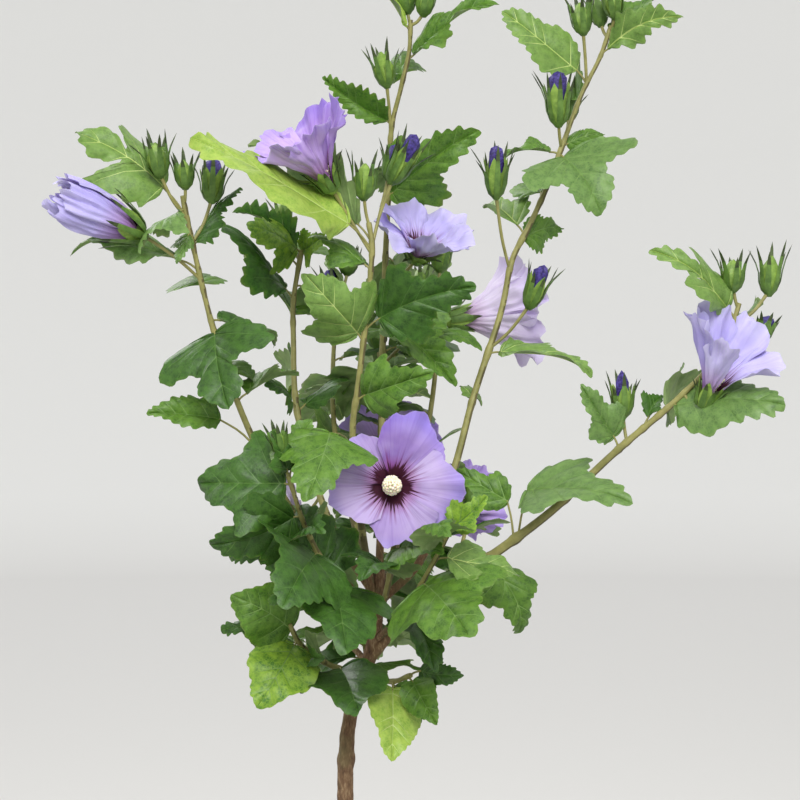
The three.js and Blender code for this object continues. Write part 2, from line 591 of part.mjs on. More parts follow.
shoots.filter((shoot) => shoot.bare > 0).forEach((shoot) => {
  const segments = Math.ceil((shoot.bare * shoot.length) / BOUGH.segment);
  const boughSolid = (grow) => (
    limb(shoot.curve, 0, shoot.bare, (at) => shoot.radiusAt(at) + grow, BOUGH.sides, segments));
  const name = `bough_${shoot.name}`;
  addMesh(name, settle(name, cutClear(boughSolid(0))), finishes.stem);
  taken.push(boughSolid(GAP));
});

// ---------------------------------------------------------------- foliage masses
function keep(shoot, solids) {
  solids.forEach((solid) => shoot.parts.push(settle(shoot.node, solid)));
}

// The stem of each mass, then its buds and blooms on their stalks.
shoots.forEach((shoot) => {
  const from = shoot.bare > 0 ? shoot.bare + GAP / shoot.length : 0;
  const segments = Math.max(STEM.fewest, Math.ceil(((1 - from) * shoot.length) / STEM.segment));
  const stem = limb(shoot.curve, from, 1, shoot.radiusAt, STEM.sides, segments);
  keep(shoot, [shoot.bare > 0 ? stem : cutClear(stem)]);
});

shoots.forEach((shoot) => {
  shoot.buds.forEach(([at, seat, tip, radius]) => {
    const axis = point(tip).sub(point(seat)).normalize();
    const stalk = flowerStalk(shoot.curve.getPointAt(at), point(seat), axis);
    keep(shoot, [stalk, budSolid(point(seat), point(tip), radius)]);
  });
  shoot.blooms.forEach(([at, seat, direction, size, kind]) => {
    const axis = point(direction).normalize();
    const stalk = flowerStalk(shoot.curve.getPointAt(at), point(seat), axis);
    keep(shoot, [stalk, ...bloomSolid(point(seat), axis, size, kind)]);
  });
});

// A leaf swings a little back or forward until it is clear of the other masses and limbs, or is
// left off. It may pass through leaves of its own mass only if `crossing` is true.
const SWINGS = [0, 7, -7, 14, -14, 22, -22];

function addLeaf(shoot, at, leaf, crossing) {
  const root = shoot.curve.getPointAt(at);
  for (const swing of SWINGS) {
    const swung = { ...leaf, tip: leaf.tip.clone().add(new THREE.Vector3(0, swing, 0)) };
    const stout = leafSolid(root, swung, GAP);
    const bladeOnly = leafSolid(root, swung, GAP, false);
    if (isClear(shoot.node, stout) && (crossing || isClear(null, bladeOnly))) {
      keep(shoot, [leafSolid(root, swung)]);
      return true;
    }
  }
  return false;
}

shoots.forEach((shoot) => {
  shoot.leaves.forEach(([at, tip, stalk, wide, face, lift = LEAF.lift]) => {
    const leaf = { tip: point(tip), stalk, wide, face, lift };
    if (!addLeaf(shoot, at, leaf, false)) addLeaf(shoot, at, leaf, true);
  });
});

// Spare leaves stand round each stem at the golden angle, inside the shoot's own sector.
const GOLDEN = Math.PI * (3 - Math.sqrt(5));

// True where a spare leaf's tip keeps inside the crown's width at its height.
function insideCrown(tip) {
  const above = CROWN_WIDTH.findIndex(([height]) => height > tip.z);
  if (above < 1) return false;
  const [low, high] = [CROWN_WIDTH[above - 1], CROWN_WIDTH[above]];
  const share = (tip.z - low[0]) / (high[0] - low[0]);
  return tip.x > mix(low[1], high[1], share) && tip.x < mix(low[2], high[2], share);
}

shoots.forEach((shoot, index) => {
  const [count, from, to, size, middle, reach] = shoot.spare;
  const random = randomStream(SPARE.seed + index * SPARE.seedStep);
  for (let k = 0; k < count; k += 1) {
    const at = mix(from, to, (k + 0.5) / count);
    const swirl = ((k * GOLDEN) % (2 * Math.PI)) / Math.PI - 1;
    const turn = THREE.MathUtils.degToRad(middle + swirl * reach);
    const length = size * mix(...SPARE.size, random());
    const drop = mix(...SPARE.drop, random());
    const out = new THREE.Vector3(Math.cos(turn), Math.sin(turn), drop).normalize();
    const tip = shoot.curve.getPointAt(at).addScaledVector(out, length + SPARE.stalk);
    const wide = mix(...SPARE.wide, random());
    const face = -Math.sin(turn) * SPARE.face;
    const leaf = { tip, stalk: SPARE.stalk, wide, face, lift: LEAF.lift };
    if (insideCrown(tip)) addLeaf(shoot, at, leaf, false);
  }
});

shoots.forEach((shoot) => {
  addMesh(shoot.node, joined(shoot.parts), finishes.foliage);
});
export default group;
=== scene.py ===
"""A young rose of sharon in flower, in its nursery pot.

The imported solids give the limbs' routes and the crown's reach. This script grows the bark,
leaves, buds and blossom on them by the same rule. Sizes are in millimetres.
"""

import logging
import math
from collections.abc import Callable, Iterable, Sequence
from dataclasses import dataclass, field
from enum import Enum

import bpy
import numpy as np
from mathutils import Matrix, Vector, noise
from mathutils.bvhtree import BVHTree


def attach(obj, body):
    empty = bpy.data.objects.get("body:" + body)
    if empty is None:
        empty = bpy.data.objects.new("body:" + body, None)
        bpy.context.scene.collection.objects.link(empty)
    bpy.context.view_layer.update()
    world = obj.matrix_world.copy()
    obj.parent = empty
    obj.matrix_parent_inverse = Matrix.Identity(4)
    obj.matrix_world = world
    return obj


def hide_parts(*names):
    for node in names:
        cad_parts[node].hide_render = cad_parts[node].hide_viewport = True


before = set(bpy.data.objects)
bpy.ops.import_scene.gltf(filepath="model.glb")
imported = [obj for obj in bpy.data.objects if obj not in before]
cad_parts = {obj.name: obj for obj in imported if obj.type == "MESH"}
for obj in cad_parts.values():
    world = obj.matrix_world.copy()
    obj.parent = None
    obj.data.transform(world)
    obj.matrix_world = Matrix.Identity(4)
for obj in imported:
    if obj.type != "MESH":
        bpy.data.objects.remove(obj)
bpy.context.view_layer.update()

MM = 0.001  # metres in a millimetre
BODY = "root"
UP = np.array((0.0, 0.0, 1.0))
ASKEW = np.array((0.31, 0.92, 0.24))  # a direction that no limb runs along
GOLDEN = math.pi * (3 - math.sqrt(5))

log = logging.getLogger("rose_of_sharon")

# Where the streams of random numbers start, and how far apart those of two shoots are.
CRUMB_SEED = 907
SPARE_SEED, SPARE_STEP = 41, 17
LEAF_SEED, LEAF_STEP = 5003, 29
BLOSSOM_SEED = 211
CRUMPLE_SEED = 5  # of Blender's own noise, which would start from the clock

Array = np.ndarray
Draw = Callable[[], float]
Faces = list[tuple[int, ...]]
Pair = tuple[float, float]
Point = tuple[float, float, float]
Shape = tuple[Array, Faces, list[int]]
Socket = bpy.types.NodeSocket
Solid = bpy.types.Object


# ---- choices by name
class Tint(Enum):
    """The colour group of a leaf; the value is its blade's material on a leaf piece."""

    MID, DARK, PALE, LIME, BRIGHT, GREY = range(6)


class Form(Enum):
    """The outline of a leaf."""

    LOBED, ROUND, NARROW, SLIT, DEEP, SLIM = range(6)


class Opening(Enum):
    """How far a bud has opened."""

    CLOSED, TIPPED, POINTED = range(3)


class Kind(Enum):
    """How a bloom holds its petals."""

    OPEN, TILTED, SIDE, FUNNEL, CUP, FURLED = range(6)


# ---- what grows where
@dataclass(frozen=True)
class Leaf:
    """One leaf: its place on the stem, the blade's tip, and how it is held."""

    at: float
    tip: Point
    stalk: float
    wide: float  # its width, as a share of its length
    face: float  # how far its upper side faces the front, or the back where negative
    tint: Tint = Tint.MID
    form: Form = Form.LOBED
    lift: float = 0.45  # how steeply the stalk rises


@dataclass(frozen=True)
class Bud:
    """One bud: its place on the stem, its seat, its tip and its girth."""

    at: float
    seat: Point
    tip: Point
    radius: float
    opening: Opening = Opening.CLOSED


@dataclass(frozen=True)
class Fold:
    """How one petal is held: its turn and lean in degrees, and how deep its colour is.

    `tone` is the depth at its first and its second edge: partly the petal's own colour and partly
    painted shade, for the upper petals, which face down, are given deeper tones. `rim` is how far it
    reaches at five places from edge to edge, as shares of the bloom's size.
    """

    turn: float
    lean: float = 0.0
    tone: Pair = (0.3, 0.3)
    rim: tuple[float, float, float, float, float] = (0.84, 0.98, 1.0, 0.99, 0.88)
    width: float = 1.0


FIVE_EVEN = tuple(Fold(72 * k) for k in range(5))


@dataclass(frozen=True)
class Bloom:
    """One bloom: its seat and direction, the petals' length, and how they are held."""

    at: float
    seat: Point
    direction: Point
    size: float
    kind: Kind
    folds: tuple[Fold, ...] = FIVE_EVEN


@dataclass(frozen=True)
class Spare:
    """The seeded leaves of a shoot: how many, where, how long, and their sector."""

    count: int
    start: float
    end: float
    length: float
    middle: float
    reach: float


@dataclass(frozen=True)
class Shoot:
    """A shoot from the trunk's axis to its tip, with all that it carries.

    Up to `bare` of its length it is a leafless bough.
    """

    name: str
    route: tuple[Point, ...]
    foot: float
    tip: float
    bare: float
    spare: Spare | None = None
    leaves: tuple[Leaf, ...] = ()
    buds: tuple[Bud, ...] = ()
    blooms: tuple[Bloom, ...] = ()


MID, DARK, PALE, LIME, BRIGHT, GREY = Tint
LOBED, ROUND, NARROW, SLIT, DEEP, SLIM = Form
CLOSED, TIPPED, POINTED = Opening
OPEN, TILTED, SIDE, FUNNEL, CUP, FURLED = Kind

# The folds of the blooms that show best.
FACING_FOLDS = (
    # the top petal's deeper tone, which reaches 1 at its second edge, is painted shade where it faces down
    Fold(66, 0, (0.45, 1.0), (0.84, 0.97, 1.14, 1.03, 0.68), 0.96),
    Fold(138, 6, (0.5, 0.3), (0.7, 0.84, 0.96, 0.93, 0.8), 0.84),
    Fold(197, 0, (0.05, 0.25), (0.8, 0.96, 0.93, 0.76, 0.56), 1.2),
    Fold(284, -3, (0.6, 0.25), (0.64, 0.9, 0.86, 0.96, 0.78)),
    Fold(354, -4, (0.45, 0.1), (0.8, 1.08, 1.1, 0.93, 0.82), 1.02),
)
CUPPED_FOLDS = (
    Fold(18, 12, (0.3, 0.3), (0.8, 0.98, 1.0, 0.9, 0.76)),
    Fold(72, -4, (0.5, 0.4)),
    Fold(144, 8, (0.75, 0.5), (0.86, 0.96, 0.95, 0.95, 0.85)),
    Fold(216, 4, (0.0, 0.05), (0.7, 0.84, 0.86, 0.8, 0.64), 0.9),
    Fold(310, 42, (0.1, 0.25), (0.7, 0.84, 0.92, 0.86, 0.7)),
)
PURPLE_FOLDS = (
    Fold(200, 6, (0.2, 0.3), (0.9, 1.0, 0.9, 1.02, 0.86)),
    Fold(272, -6, (0.3, 0.2), (0.82, 0.94, 0.88, 0.98, 0.9)),
    Fold(344, -10, (0.3, 0.5), (0.9, 0.82, 0.96, 1.0, 0.84)),
    Fold(56, -6, (0.6, 0.6)),
    Fold(128, 16, (1.0, 0.5), (0.84, 0.92, 1.0, 0.9, 0.8)),
)
TILTED_FOLDS = (
    Fold(30, 6, (0.5, 0.3), (0.8, 0.98, 1.04, 0.9, 0.8)),
    Fold(102, -6, (0.15, 0.5), (0.7, 0.9, 0.86, 0.98, 0.8)),
    Fold(174, -4, (0.4, 0.1), (0.8, 0.92, 1.0, 0.94, 0.8)),
    Fold(246, -56, (0.1, 0.0), (0.7, 0.84, 0.9, 0.8, 0.7)),
    Fold(318, -44, (0.2, 0.1), (0.8, 0.86, 0.98, 0.92, 0.8)),
)
PALE_FOLDS = tuple(
    Fold(10 + 72 * k, 5 * (k % 2), (0.0, 0.2), (0.94, 1.12, 1.2, 1.1, 0.98)) for k in range(5)
)
FURLED_FOLDS = tuple(
    Fold(20 + 72 * k, 4 - 3 * k % 5, (0.3, 0.7), (0.8, 0.94, 0.86 + 0.14 * (k % 2), 0.98, 0.8))
    for k in range(5)
)

SHOOTS = (
    Shoot(
        "left", ((16, 0, 440), (-16, -7, 476), (-48, -14, 527), (-69, -22, 574), (-84, -30, 622),
        (-93, -36, 661), (-101, -44, 701)),
        2.5, 1.4, 0.38, Spare(3, 0.5, 0.8, 42, 90, 60),
        leaves=(
            Leaf(0.95, (-165, -60, 739), 24, 0.72, 0.7, PALE, SLIT),
            Leaf(0.84, (-172, -22, 664), 14, 0.5, 0.2, GREY, SLIM),
            Leaf(0.97, (-126, -62, 666), 5, 0.6, -0.3, GREY),
            Leaf(0.92, (-104, -58, 660), 3, 0.4, 0.6, GREY), Leaf(0.89, (-66, -24, 706), 3, 0.3, 0.5, DARK),
            Leaf(0.71, (-72, -64, 572), 3, 1.25, 0.9, DARK, DEEP),
            Leaf(0.73, (-47, -6, 608), 6, 0.8, 0.5, DARK, ROUND),
            Leaf(0.44, (-124, -38, 568), 30, 0.6, 0.5, form=NARROW),
            Leaf(0.6, (-70, 24, 590), 10, 0.8, -0.6), Leaf(0.8, (-96, 20, 648), 8, 0.7, -0.6),
        ),
        buds=(
            Bud(0.95, (-114, -50, 713), (-118, -56, 742), 5.2),
            Bud(0.98, (-99, -44, 706), (-101, -46, 730), 4.4),
            Bud(0.9, (-84, -30, 698), (-83, -26, 727), 5.4, TIPPED),
        ),
        blooms=(Bloom(0.82, (-124, -50, 677), (-0.86, -0.26, 0.42), 62, FURLED, FURLED_FOLDS),),
    ),
    Shoot(
        "left_centre", ((16, 1, 450), (-12, 18, 494), (-34, 36, 563), (-37, 46, 612), (-37, 50, 636),
        (-32, 56, 668)),
        2.5, 1.5, 0.5, Spare(4, 0.55, 0.95, 46, 100, 60),
        leaves=(
            Leaf(0.86, (-94, 34, 686), 9, 0.62, 0.5, DARK), Leaf(0.95, (-77, 62, 692), 6, 0.25, 0.5, DARK),
            Leaf(0.99, (-66, 26, 684), 4, 0.8, 0.8, BRIGHT), Leaf(0.99, (-16, 34, 678), 3, 0.8, 0.8, BRIGHT),
            Leaf(0.56, (-54, 8, 584), 8, 0.8, 0.6, DARK), Leaf(0.55, (-2, 62, 584), 8, 0.7, 0.3, DARK),
            Leaf(0.6, (-52, 92, 600), 10, 0.8, -0.7), Leaf(0.8, (-50, 106, 640), 10, 0.8, -0.7),
            Leaf(0.97, (-34, 104, 668), 8, 0.8, -0.5),
        ),
        buds=(Bud(0.97, (-44, 72, 684), (-46, 80, 708), 4.2),),
    ),
    Shoot(
        "centre", ((16, 0, 438), (6, -11, 507), (2, -16, 559), (5, -18, 581), (10, -20, 624), (14, -22, 670),
        (12, -22, 685)),
        2.6, 1.5, 0.42,
        leaves=(
            Leaf(0.93, (-94, -72, 735), 22, 0.5, 0.75, LIME, NARROW),
            Leaf(0.95, (-63, -18, 733), 14, 0.2, 0.2, GREY), Leaf(0.88, (-26, 0, 676), 6, 0.6, 0.5),
            Leaf(0.7, (-27, -50, 654), 7, 0.85, 0.8, PALE), Leaf(0.73, (78, -34, 646), 12, 0.62, 0.7, DARK),
            Leaf(0.55, (52, -46, 594), 8, 0.62, 0.8), Leaf(0.44, (-24, -100, 520), 50, 0.95, 0.85, lift=0.5),
        ),
        buds=(
            Bud(0.99, (9, -24, 700), (10, -27, 731), 5.4),
            Bud(0.94, (26, -16, 710), (44, -24, 742), 5.4, TIPPED),
            Bud(0.94, (24, -12, 712), (30, -10, 736), 4.2, TIPPED),
        ),
        blooms=(Bloom(0.92, (-9, -30, 703), (-0.47, -0.34, 0.82), 56, FUNNEL, PURPLE_FOLDS),),
    ),
    Shoot(
        "crown", ((17, 0, 440), (20, 24, 522), (20, 40, 589), (21, 44, 636), (22, 46, 664), (24, 42, 706),
        (26, 38, 746), (32, 34, 771), (37, 30, 793), (38, 28, 813)),
        2.7, 1.3, 0.34, Spare(4, 0.36, 0.72, 44, 90, 50),
        leaves=(
            Leaf(0.51, (66, 10, 582), 12, 0.7, 0.8), Leaf(0.44, (84, 46, 604), 10, 0.45, 0.4),
            Leaf(0.7, (81, 12, 743), 4, 0.55, 0.6), Leaf(0.82, (-18, 28, 777), 4, 0.45, 0.6, form=SLIM),
            Leaf(0.98, (6, 18, 832), 5, 0.5, 0.6, LIME), Leaf(0.93, (94, 24, 822), 6, 0.3, 0.4),
            Leaf(0.4, (-6, 84, 560), 10, 0.8, -0.6), Leaf(0.6, (44, 92, 628), 10, 0.8, -0.7),
            Leaf(0.75, (26, 88, 700), 8, 0.7, -0.6), Leaf(0.9, (34, 74, 790), 6, 0.6, -0.5),
        ),
        buds=(
            Bud(0.99, (46, 26, 816), (50, 24, 843), 4.6), Bud(0.8, (23, 34, 772), (17, 32, 803), 5.0),
            Bud(0.99, (36, 32, 818), (32, 30, 846), 4.6),
        ),
        blooms=(
            Bloom(0.55, (40, 14, 660), (0.34, -0.52, 0.78), 42, TILTED, TILTED_FOLDS),
            Bloom(0.42, (60, 70, 622), (0.93, 0.3, 0.12), 54, SIDE, PALE_FOLDS),
        ),
    ),
    Shoot(
        "right", ((17, 0, 446), (44, 5, 473), (65, 18, 528), (78, 28, 575), (96, 38, 630), (103, 42, 662),
        (114, 44, 684), (125, 46, 708), (134, 48, 732), (148, 50, 769), (159, 50, 791), (166, 50, 811)),
        2.7, 1.3, 0.33, Spare(3, 0.36, 0.7, 42, 80, 50),
        leaves=(
            Leaf(0.64, (86, 86, 695), 10, 0.6, 0.5, PALE), Leaf(0.63, (136, 66, 682), 4, 0.6, 0.5),
            Leaf(0.78, (158, 20, 690), 4, 1.5, 0.85, GREY, DEEP), Leaf(0.78, (96, 62, 724), 6, 0.5, 0.5),
            Leaf(0.79, (163, 62, 742), 5, 0.5, 0.4), Leaf(0.9, (96, 34, 820), 10, 0.62, 0.7, PALE, NARROW),
            Leaf(0.95, (211, 34, 815), 6, 0.4, 0.5, PALE, SLIM), Leaf(0.97, (204, 72, 832), 8, 0.4, 0.5),
            Leaf(0.44, (153, 22, 588), 8, 0.5, 0.5, PALE), Leaf(0.36, (76, 66, 572), 8, 0.5, 0.3, PALE),
            Leaf(0.7, (124, 96, 712), 10, 0.7, -0.6), Leaf(0.86, (150, 94, 770), 8, 0.6, -0.6),
        ),
        buds=(
            Bud(0.58, (92, 30, 702), (92, 26, 738), 5.2, TIPPED),
            Bud(0.79, (132, 40, 748), (131, 36, 786), 5.8, TIPPED),
            Bud(0.9, (148, 46, 806), (144, 44, 834), 4.8), Bud(0.99, (168, 46, 816), (164, 44, 845), 4.8),
            Bud(0.45, (113, 30, 632), (124, 26, 662), 5.0, TIPPED),
            Bud(0.98, (160, 58, 812), (156, 64, 838), 4.2), Bud(0.8, (140, 64, 752), (142, 76, 778), 4.4),
        ),
    ),
    Shoot(
        "low_right", ((13, -1, 413), (36, -7, 441), (62, -16, 460), (89, -24, 480), (123, -36, 507),
        (163, -50, 546), (202, -60, 581), (226, -62, 608), (236, -60, 636)),
        3.8, 1.3, 0.28, Spare(3, 0.32, 0.6, 40, 90, 50),
        leaves=(
            Leaf(0.64, (140, -62, 587), 8, 0.65, 0.6, GREY), Leaf(0.7, (194, -42, 579), 8, 0.5, 0.5, DARK),
            Leaf(0.76, (260, -92, 576), 5, 0.75, 0.8, GREY, NARROW),
            Leaf(0.97, (180, -78, 668), 8, 0.42, 0.6, PALE, SLIT),
            Leaf(0.38, (171, -62, 516), 30, 0.68, 0.8, GREY, lift=4),
            Leaf(0.37, (66, -14, 531), 24, 0.6, 0.6, lift=4), Leaf(0.31, (104, -4, 428), 10, 0.6, 0.6),
            Leaf(0.5, (142, 8, 520), 10, 0.7, -0.6), Leaf(0.74, (226, -14, 590), 8, 0.7, -0.6),
            Leaf(0.9, (256, -16, 636), 8, 0.6, -0.5),
        ),
        buds=(
            Bud(0.66, (167, -48, 567), (166, -48, 596), 5.0, POINTED),
            Bud(0.99, (232, -62, 644), (231, -64, 671), 5.2),
            Bud(0.96, (254, -56, 642), (257, -54, 675), 5.0),
            Bud(0.93, (250, -50, 613), (256, -46, 630), 4.0, TIPPED),
        ),
        blooms=(Bloom(0.8, (213, -70, 572), (0.3, -0.28, 0.91), 60, CUP, CUPPED_FOLDS),),
    ),
    Shoot(
        "front", ((17, 0, 434), (24, -22, 462), (28, -34, 494), (27, -40, 518)),
        2.2, 1.5, 0.4,
        leaves=(Leaf(0.45, (8, -80, 470), 8, 0.8, 0.8, DARK), Leaf(0.6, (58, -70, 486), 8, 0.7, 0.7)),
        blooms=(Bloom(0.98, (26, -46, 525), (0.02, -1, 0.06), 44, OPEN, FACING_FOLDS),),
    ),
    Shoot(
        "front_left", ((16, 0, 428), (-4, -32, 456), (-26, -58, 500), (-36, -66, 532)),
        2.2, 1.3, 0.3, Spare(2, 0.4, 0.9, 44, 200, 40),
        leaves=(
            Leaf(0.6, (-38, -116, 458), 6, 1.0, 0.9, DARK), Leaf(0.4, (0, -110, 430), 6, 1.0, 0.9, DARK),
            Leaf(0.95, (-92, -46, 526), 4, 1.0, 0.85, DARK), Leaf(0.8, (-84, -60, 490), 4, 0.95, 0.85, DARK),
            Leaf(0.6, (-74, -28, 478), 8, 0.6, 0.5, DARK), Leaf(0.98, (-46, -92, 560), 6, 0.7, 0.6, DARK),
            Leaf(0.99, (-22, -80, 566), 6, 0.7, 0.5), Leaf(0.7, (-14, -98, 500), 6, 0.8, 0.8, DARK),
            # two dark leaves fill the gap behind this shoot; their deep green is painted shade
            Leaf(0.42, (-30, -14, 510), 5, 0.95, 0.9, DARK), Leaf(0.5, (-46, -30, 502), 5, 0.9, 0.9, DARK),
        ),
        buds=(Bud(0.99, (-40, -70, 546), (-44, -76, 566), 3.8),),
    ),
    Shoot(
        "front_right", ((15, 0, 422), (34, -34, 446), (50, -58, 476), (62, -66, 500)),
        2.2, 1.3, 0.3, Spare(2, 0.4, 0.9, 44, -20, 40),
        leaves=(
            Leaf(0.62, (72, -126, 442), 8, 0.95, 0.9), Leaf(0.96, (84, -76, 520), 6, 0.8, 0.8, BRIGHT),
            Leaf(0.4, (52, -74, 414), 6, 0.8, 0.8, DARK), Leaf(0.8, (104, -60, 470), 8, 0.8, 0.6, PALE),
            Leaf(0.9, (60, -116, 500), 8, 0.7, 0.7),
        ),
    ),
    Shoot(
        "low_left", ((9, -1, 402), (-12, -17, 410), (-30, -27, 424), (-37, -32, 438)),
        2.1, 1.4, 0,
        leaves=(
            Leaf(0.9, (-72, -48, 458), 3, 1.1, 0.85, form=ROUND),
            Leaf(0.9, (-80, -20, 432), 10, 0.4, 0.6, DARK),
            Leaf(0.8, (-56, -66, 390), 4, 1.05, 0.85, BRIGHT, ROUND),
            Leaf(0.6, (-30, -16, 392), 4, 0.8, 0.6, DARK),
            Leaf(0.3, (6, -72, 388), 6, 1.0, 0.9, DARK, ROUND),
            Leaf(0.5, (-14, -70, 420), 6, 0.9, 0.85, DARK), Leaf(0.7, (-62, 6, 420), 10, 0.8, -0.4),
        ),
    ),
    Shoot(
        "low_front", ((10, -1, 405), (25, -18, 400), (38, -32, 406)),
        2.0, 1.4, 0,
        leaves=(
            Leaf(0.9, (54, -50, 378), 6, 0.8, 0.8, form=ROUND),
            Leaf(0.6, (26, -58, 357), 8, 0.85, 0.9, LIME, ROUND),
            Leaf(0.97, (70, -50, 408), 8, 0.8, 0.6, DARK), Leaf(0.4, (44, -12, 372), 8, 0.8, 0.4),
        ),
    ),
    Shoot(
        "rear_left", ((17, 1, 454), (0, 40, 500), (-12, 82, 556), (-12, 110, 612), (-8, 122, 642)),
        2.3, 1.3, 0.3, Spare(16, 0.32, 0.95, 50, 100, 130),
        leaves=(Leaf(0.97, (-20, 160, 660), 6, 0.7, -0.7), Leaf(0.9, (2, 158, 630), 6, 0.7, -0.7)),
        buds=(
            Bud(0.97, (-4, 128, 652), (-2, 130, 674), 4.8),
            Bud(0.86, (-14, 126, 634), (-16, 134, 658), 4.6, TIPPED),
        ),
        blooms=(Bloom(0.5, (-34, 98, 488), (-0.5, 0.84, 0.12), 44, SIDE),),
    ),
    Shoot(
        "rear_right", ((17, 0, 442), (34, 42, 496), (50, 78, 556), (56, 108, 612), (54, 120, 642)),
        2.3, 1.3, 0.3, Spare(16, 0.32, 0.95, 50, 80, 130),
        leaves=(Leaf(0.97, (66, 152, 660), 6, 0.7, -0.7), Leaf(0.9, (40, 156, 634), 6, 0.7, -0.7)),
        buds=(
            Bud(0.97, (58, 124, 654), (60, 128, 680), 5.0, TIPPED),
            Bud(0.88, (46, 124, 640), (42, 132, 662), 4.6),
        ),
        blooms=(Bloom(0.45, (60, 92, 494), (0.42, 0.88, 0.16), 46, FUNNEL),),
    ),
    Shoot(
        "rear_mid", ((15, 0, 426), (18, 48, 462), (18, 98, 506), (18, 134, 556), (20, 146, 588)),
        2.3, 1.3, 0.3, Spare(16, 0.32, 0.95, 52, 90, 130),
        leaves=(Leaf(0.97, (4, 184, 604), 6, 0.7, -0.8), Leaf(0.95, (44, 172, 606), 6, 0.7, -0.7)),
        buds=(
            Bud(0.98, (16, 152, 602), (14, 158, 628), 5.2),
            Bud(0.96, (28, 150, 598), (34, 156, 620), 4.6, POINTED),
        ),
        blooms=(Bloom(0.8, (20, 150, 528), (0.1, 0.98, 0.05), 43, OPEN),),
    ),
    Shoot(
        "side_right", ((12, -1, 414), (40, 34, 436), (66, 66, 462), (76, 86, 490)),
        2.1, 1.2, 0.3, Spare(14, 0.34, 0.98, 50, 50, 100),
        buds=(Bud(0.98, (78, 92, 502), (80, 98, 524), 4.0),),
    ),
    Shoot(
        "side_left", ((11, -1, 409), (-14, 34, 432), (-40, 64, 464), (-50, 84, 496)),
        2.1, 1.2, 0.3, Spare(14, 0.34, 0.98, 50, 130, 100),
        buds=(Bud(0.98, (-52, 90, 508), (-56, 96, 530), 4.0),),
    ),
    Shoot(
        "low_rear", ((7, -1, 398), (10, 30, 402), (8, 58, 418), (6, 74, 438)),
        2.1, 1.4, 0, Spare(12, 0.3, 0.98, 46, 90, 130),
    ),
)

# The dense part of the crown: (height, left edge, right edge).
CROWN_WIDTH = (
    (372, -15, 45), (400, -50, 60), (430, -60, 80), (460, -45, 100), (500, -78, 100),
    (525, -78, 84), (545, -35, 72), (580, -46, 74), (612, -14, 68), (668, -20, 72),
)


# ---- numbers and lines
def mix(a: float, b: float, share: float) -> float:
    """The value a share of the way from a to b."""
    return a + (b - a) * share


def unit(vector: Array) -> Array:
    """The vector at length 1."""
    return vector / np.linalg.norm(vector)


def turned(angle: float, first: Array, second: Array) -> Array:
    """The direction at an angle from one direction towards another that is square to it."""
    return math.cos(angle) * first + math.sin(angle) * second


def full_turn(count: int) -> list[float]:
    """Angles that stand evenly round a circle."""
    return [2 * math.pi * k / count for k in range(count)]


def random_stream(seed: int) -> Draw:
    """A repeatable stream of numbers from 0 to 1."""
    factor, step, size = 1664525, 1013904223, 2**32
    state = seed

    def draw() -> float:
        """The stream's next number."""
        nonlocal state
        state = (state * factor + step) % size
        return state / size

    return draw


class Route:
    """A smooth line through points, read by its share of length."""

    STEPS = 24  # samples between two points

    def __init__(self, points: Sequence[Sequence[float]]) -> None:
        """Samples the centripetal curve through the points."""
        p = [np.array(q, float) for q in points]
        p = [2 * p[0] - p[1], *p, 2 * p[-1] - p[-2]]
        shares = np.linspace(0, 1, self.STEPS, endpoint=False)[:, None]
        spans = [self._span(*p[i:i + 4], shares) for i in range(len(p) - 3)]
        self.samples = np.vstack([*spans, p[-2][None]])
        runs = np.linalg.norm(np.diff(self.samples, axis=0), axis=1)
        self.travel = np.concatenate([[0.0], np.cumsum(runs)])
        self.length = float(self.travel[-1])

    @staticmethod
    def _span(a: Array, b: Array, c: Array, d: Array, t: Array) -> Array:
        """Points between b and c, where the line runs from a to d.

        Args:
            a: The point before b.
            b: Where the span starts.
            c: Where it ends.
            d: The point after c.
            t: Shares of the span, as a column.

        Returns:
            One row for each share.
        """
        d0, d1, d2 = (math.sqrt(np.linalg.norm(q - p)) for p, q in ((a, b), (b, c), (c, d)))
        out = ((b - a) / d0 - (c - a) / (d0 + d1) + (c - b) / d1) * d1
        back = ((c - b) / d1 - (d - b) / (d1 + d2) + (d - c) / d2) * d1
        cubic = (2 * t**3 - 3 * t**2 + 1) * b + (t**3 - 2 * t**2 + t) * out
        return cubic + (3 * t**2 - 2 * t**3) * c + (t**3 - t**2) * back

    def at(self, share: float) -> Array:
        """The point at a share of the length."""
        along = min(max(share, 0.0), 1.0) * self.length
        return np.array([np.interp(along, self.travel, self.samples[:, k]) for k in range(3)])

    def heading(self, share: float) -> Array:
        """The direction of travel at a share of the length."""
        step = 0.004
        return unit(self.at(min(share + step, 1)) - self.at(max(share - step, 0)))


def frames_along(route: Route, shares: Iterable[float]) -> list[tuple[Array, ...]]:
    """The line's point and two steady crosswise directions at each share."""
    frames = []
    across = ASKEW
    for share in shares:
        heading = route.heading(share)
        across = unit(across - across.dot(heading) * heading)
        frames.append((route.at(share), across, np.cross(across, heading)))
    return frames


# ---- shapes as arrays
def plain(points: Sequence, faces: Faces) -> Shape:
    """A shape of one material all over."""
    return np.array(points), faces, [0] * len(faces)


def tube(route: Route, shares: Sequence[float], radius_at: Callable[[float], float], sides: int,
         relief: Callable[[Array, float, float], float] | None = None) -> Shape:
    """A closed round bar along a line.

    Args:
        route: The line it follows.
        shares: Where its rings stand.
        radius_at: The radius at a share of the line.
        sides: The corners of a ring.
        relief: How far the skin stands out at a point, given its angle and share.

    Returns:
        Points, faces and a material number for each face.
    """
    points = []
    for share, (centre, across, over) in zip(shares, frames_along(route, shares)):
        radius = radius_at(share)
        for turn in full_turn(sides):
            out = turned(turn, across, over)
            skin = relief(centre + out * radius, turn, share) if relief else 0.0
            points.append(centre + out * (radius + skin))
    last = (len(shares) - 1) * sides
    faces = [
        (low + sides + k, low + sides + (k + 1) % sides, low + (k + 1) % sides, low + k)
        for low in range(0, last, sides)
        for k in range(sides)
    ]
    faces += [tuple(range(sides)), tuple(range(last + sides - 1, last - 1, -1))]
    return plain(points, faces)


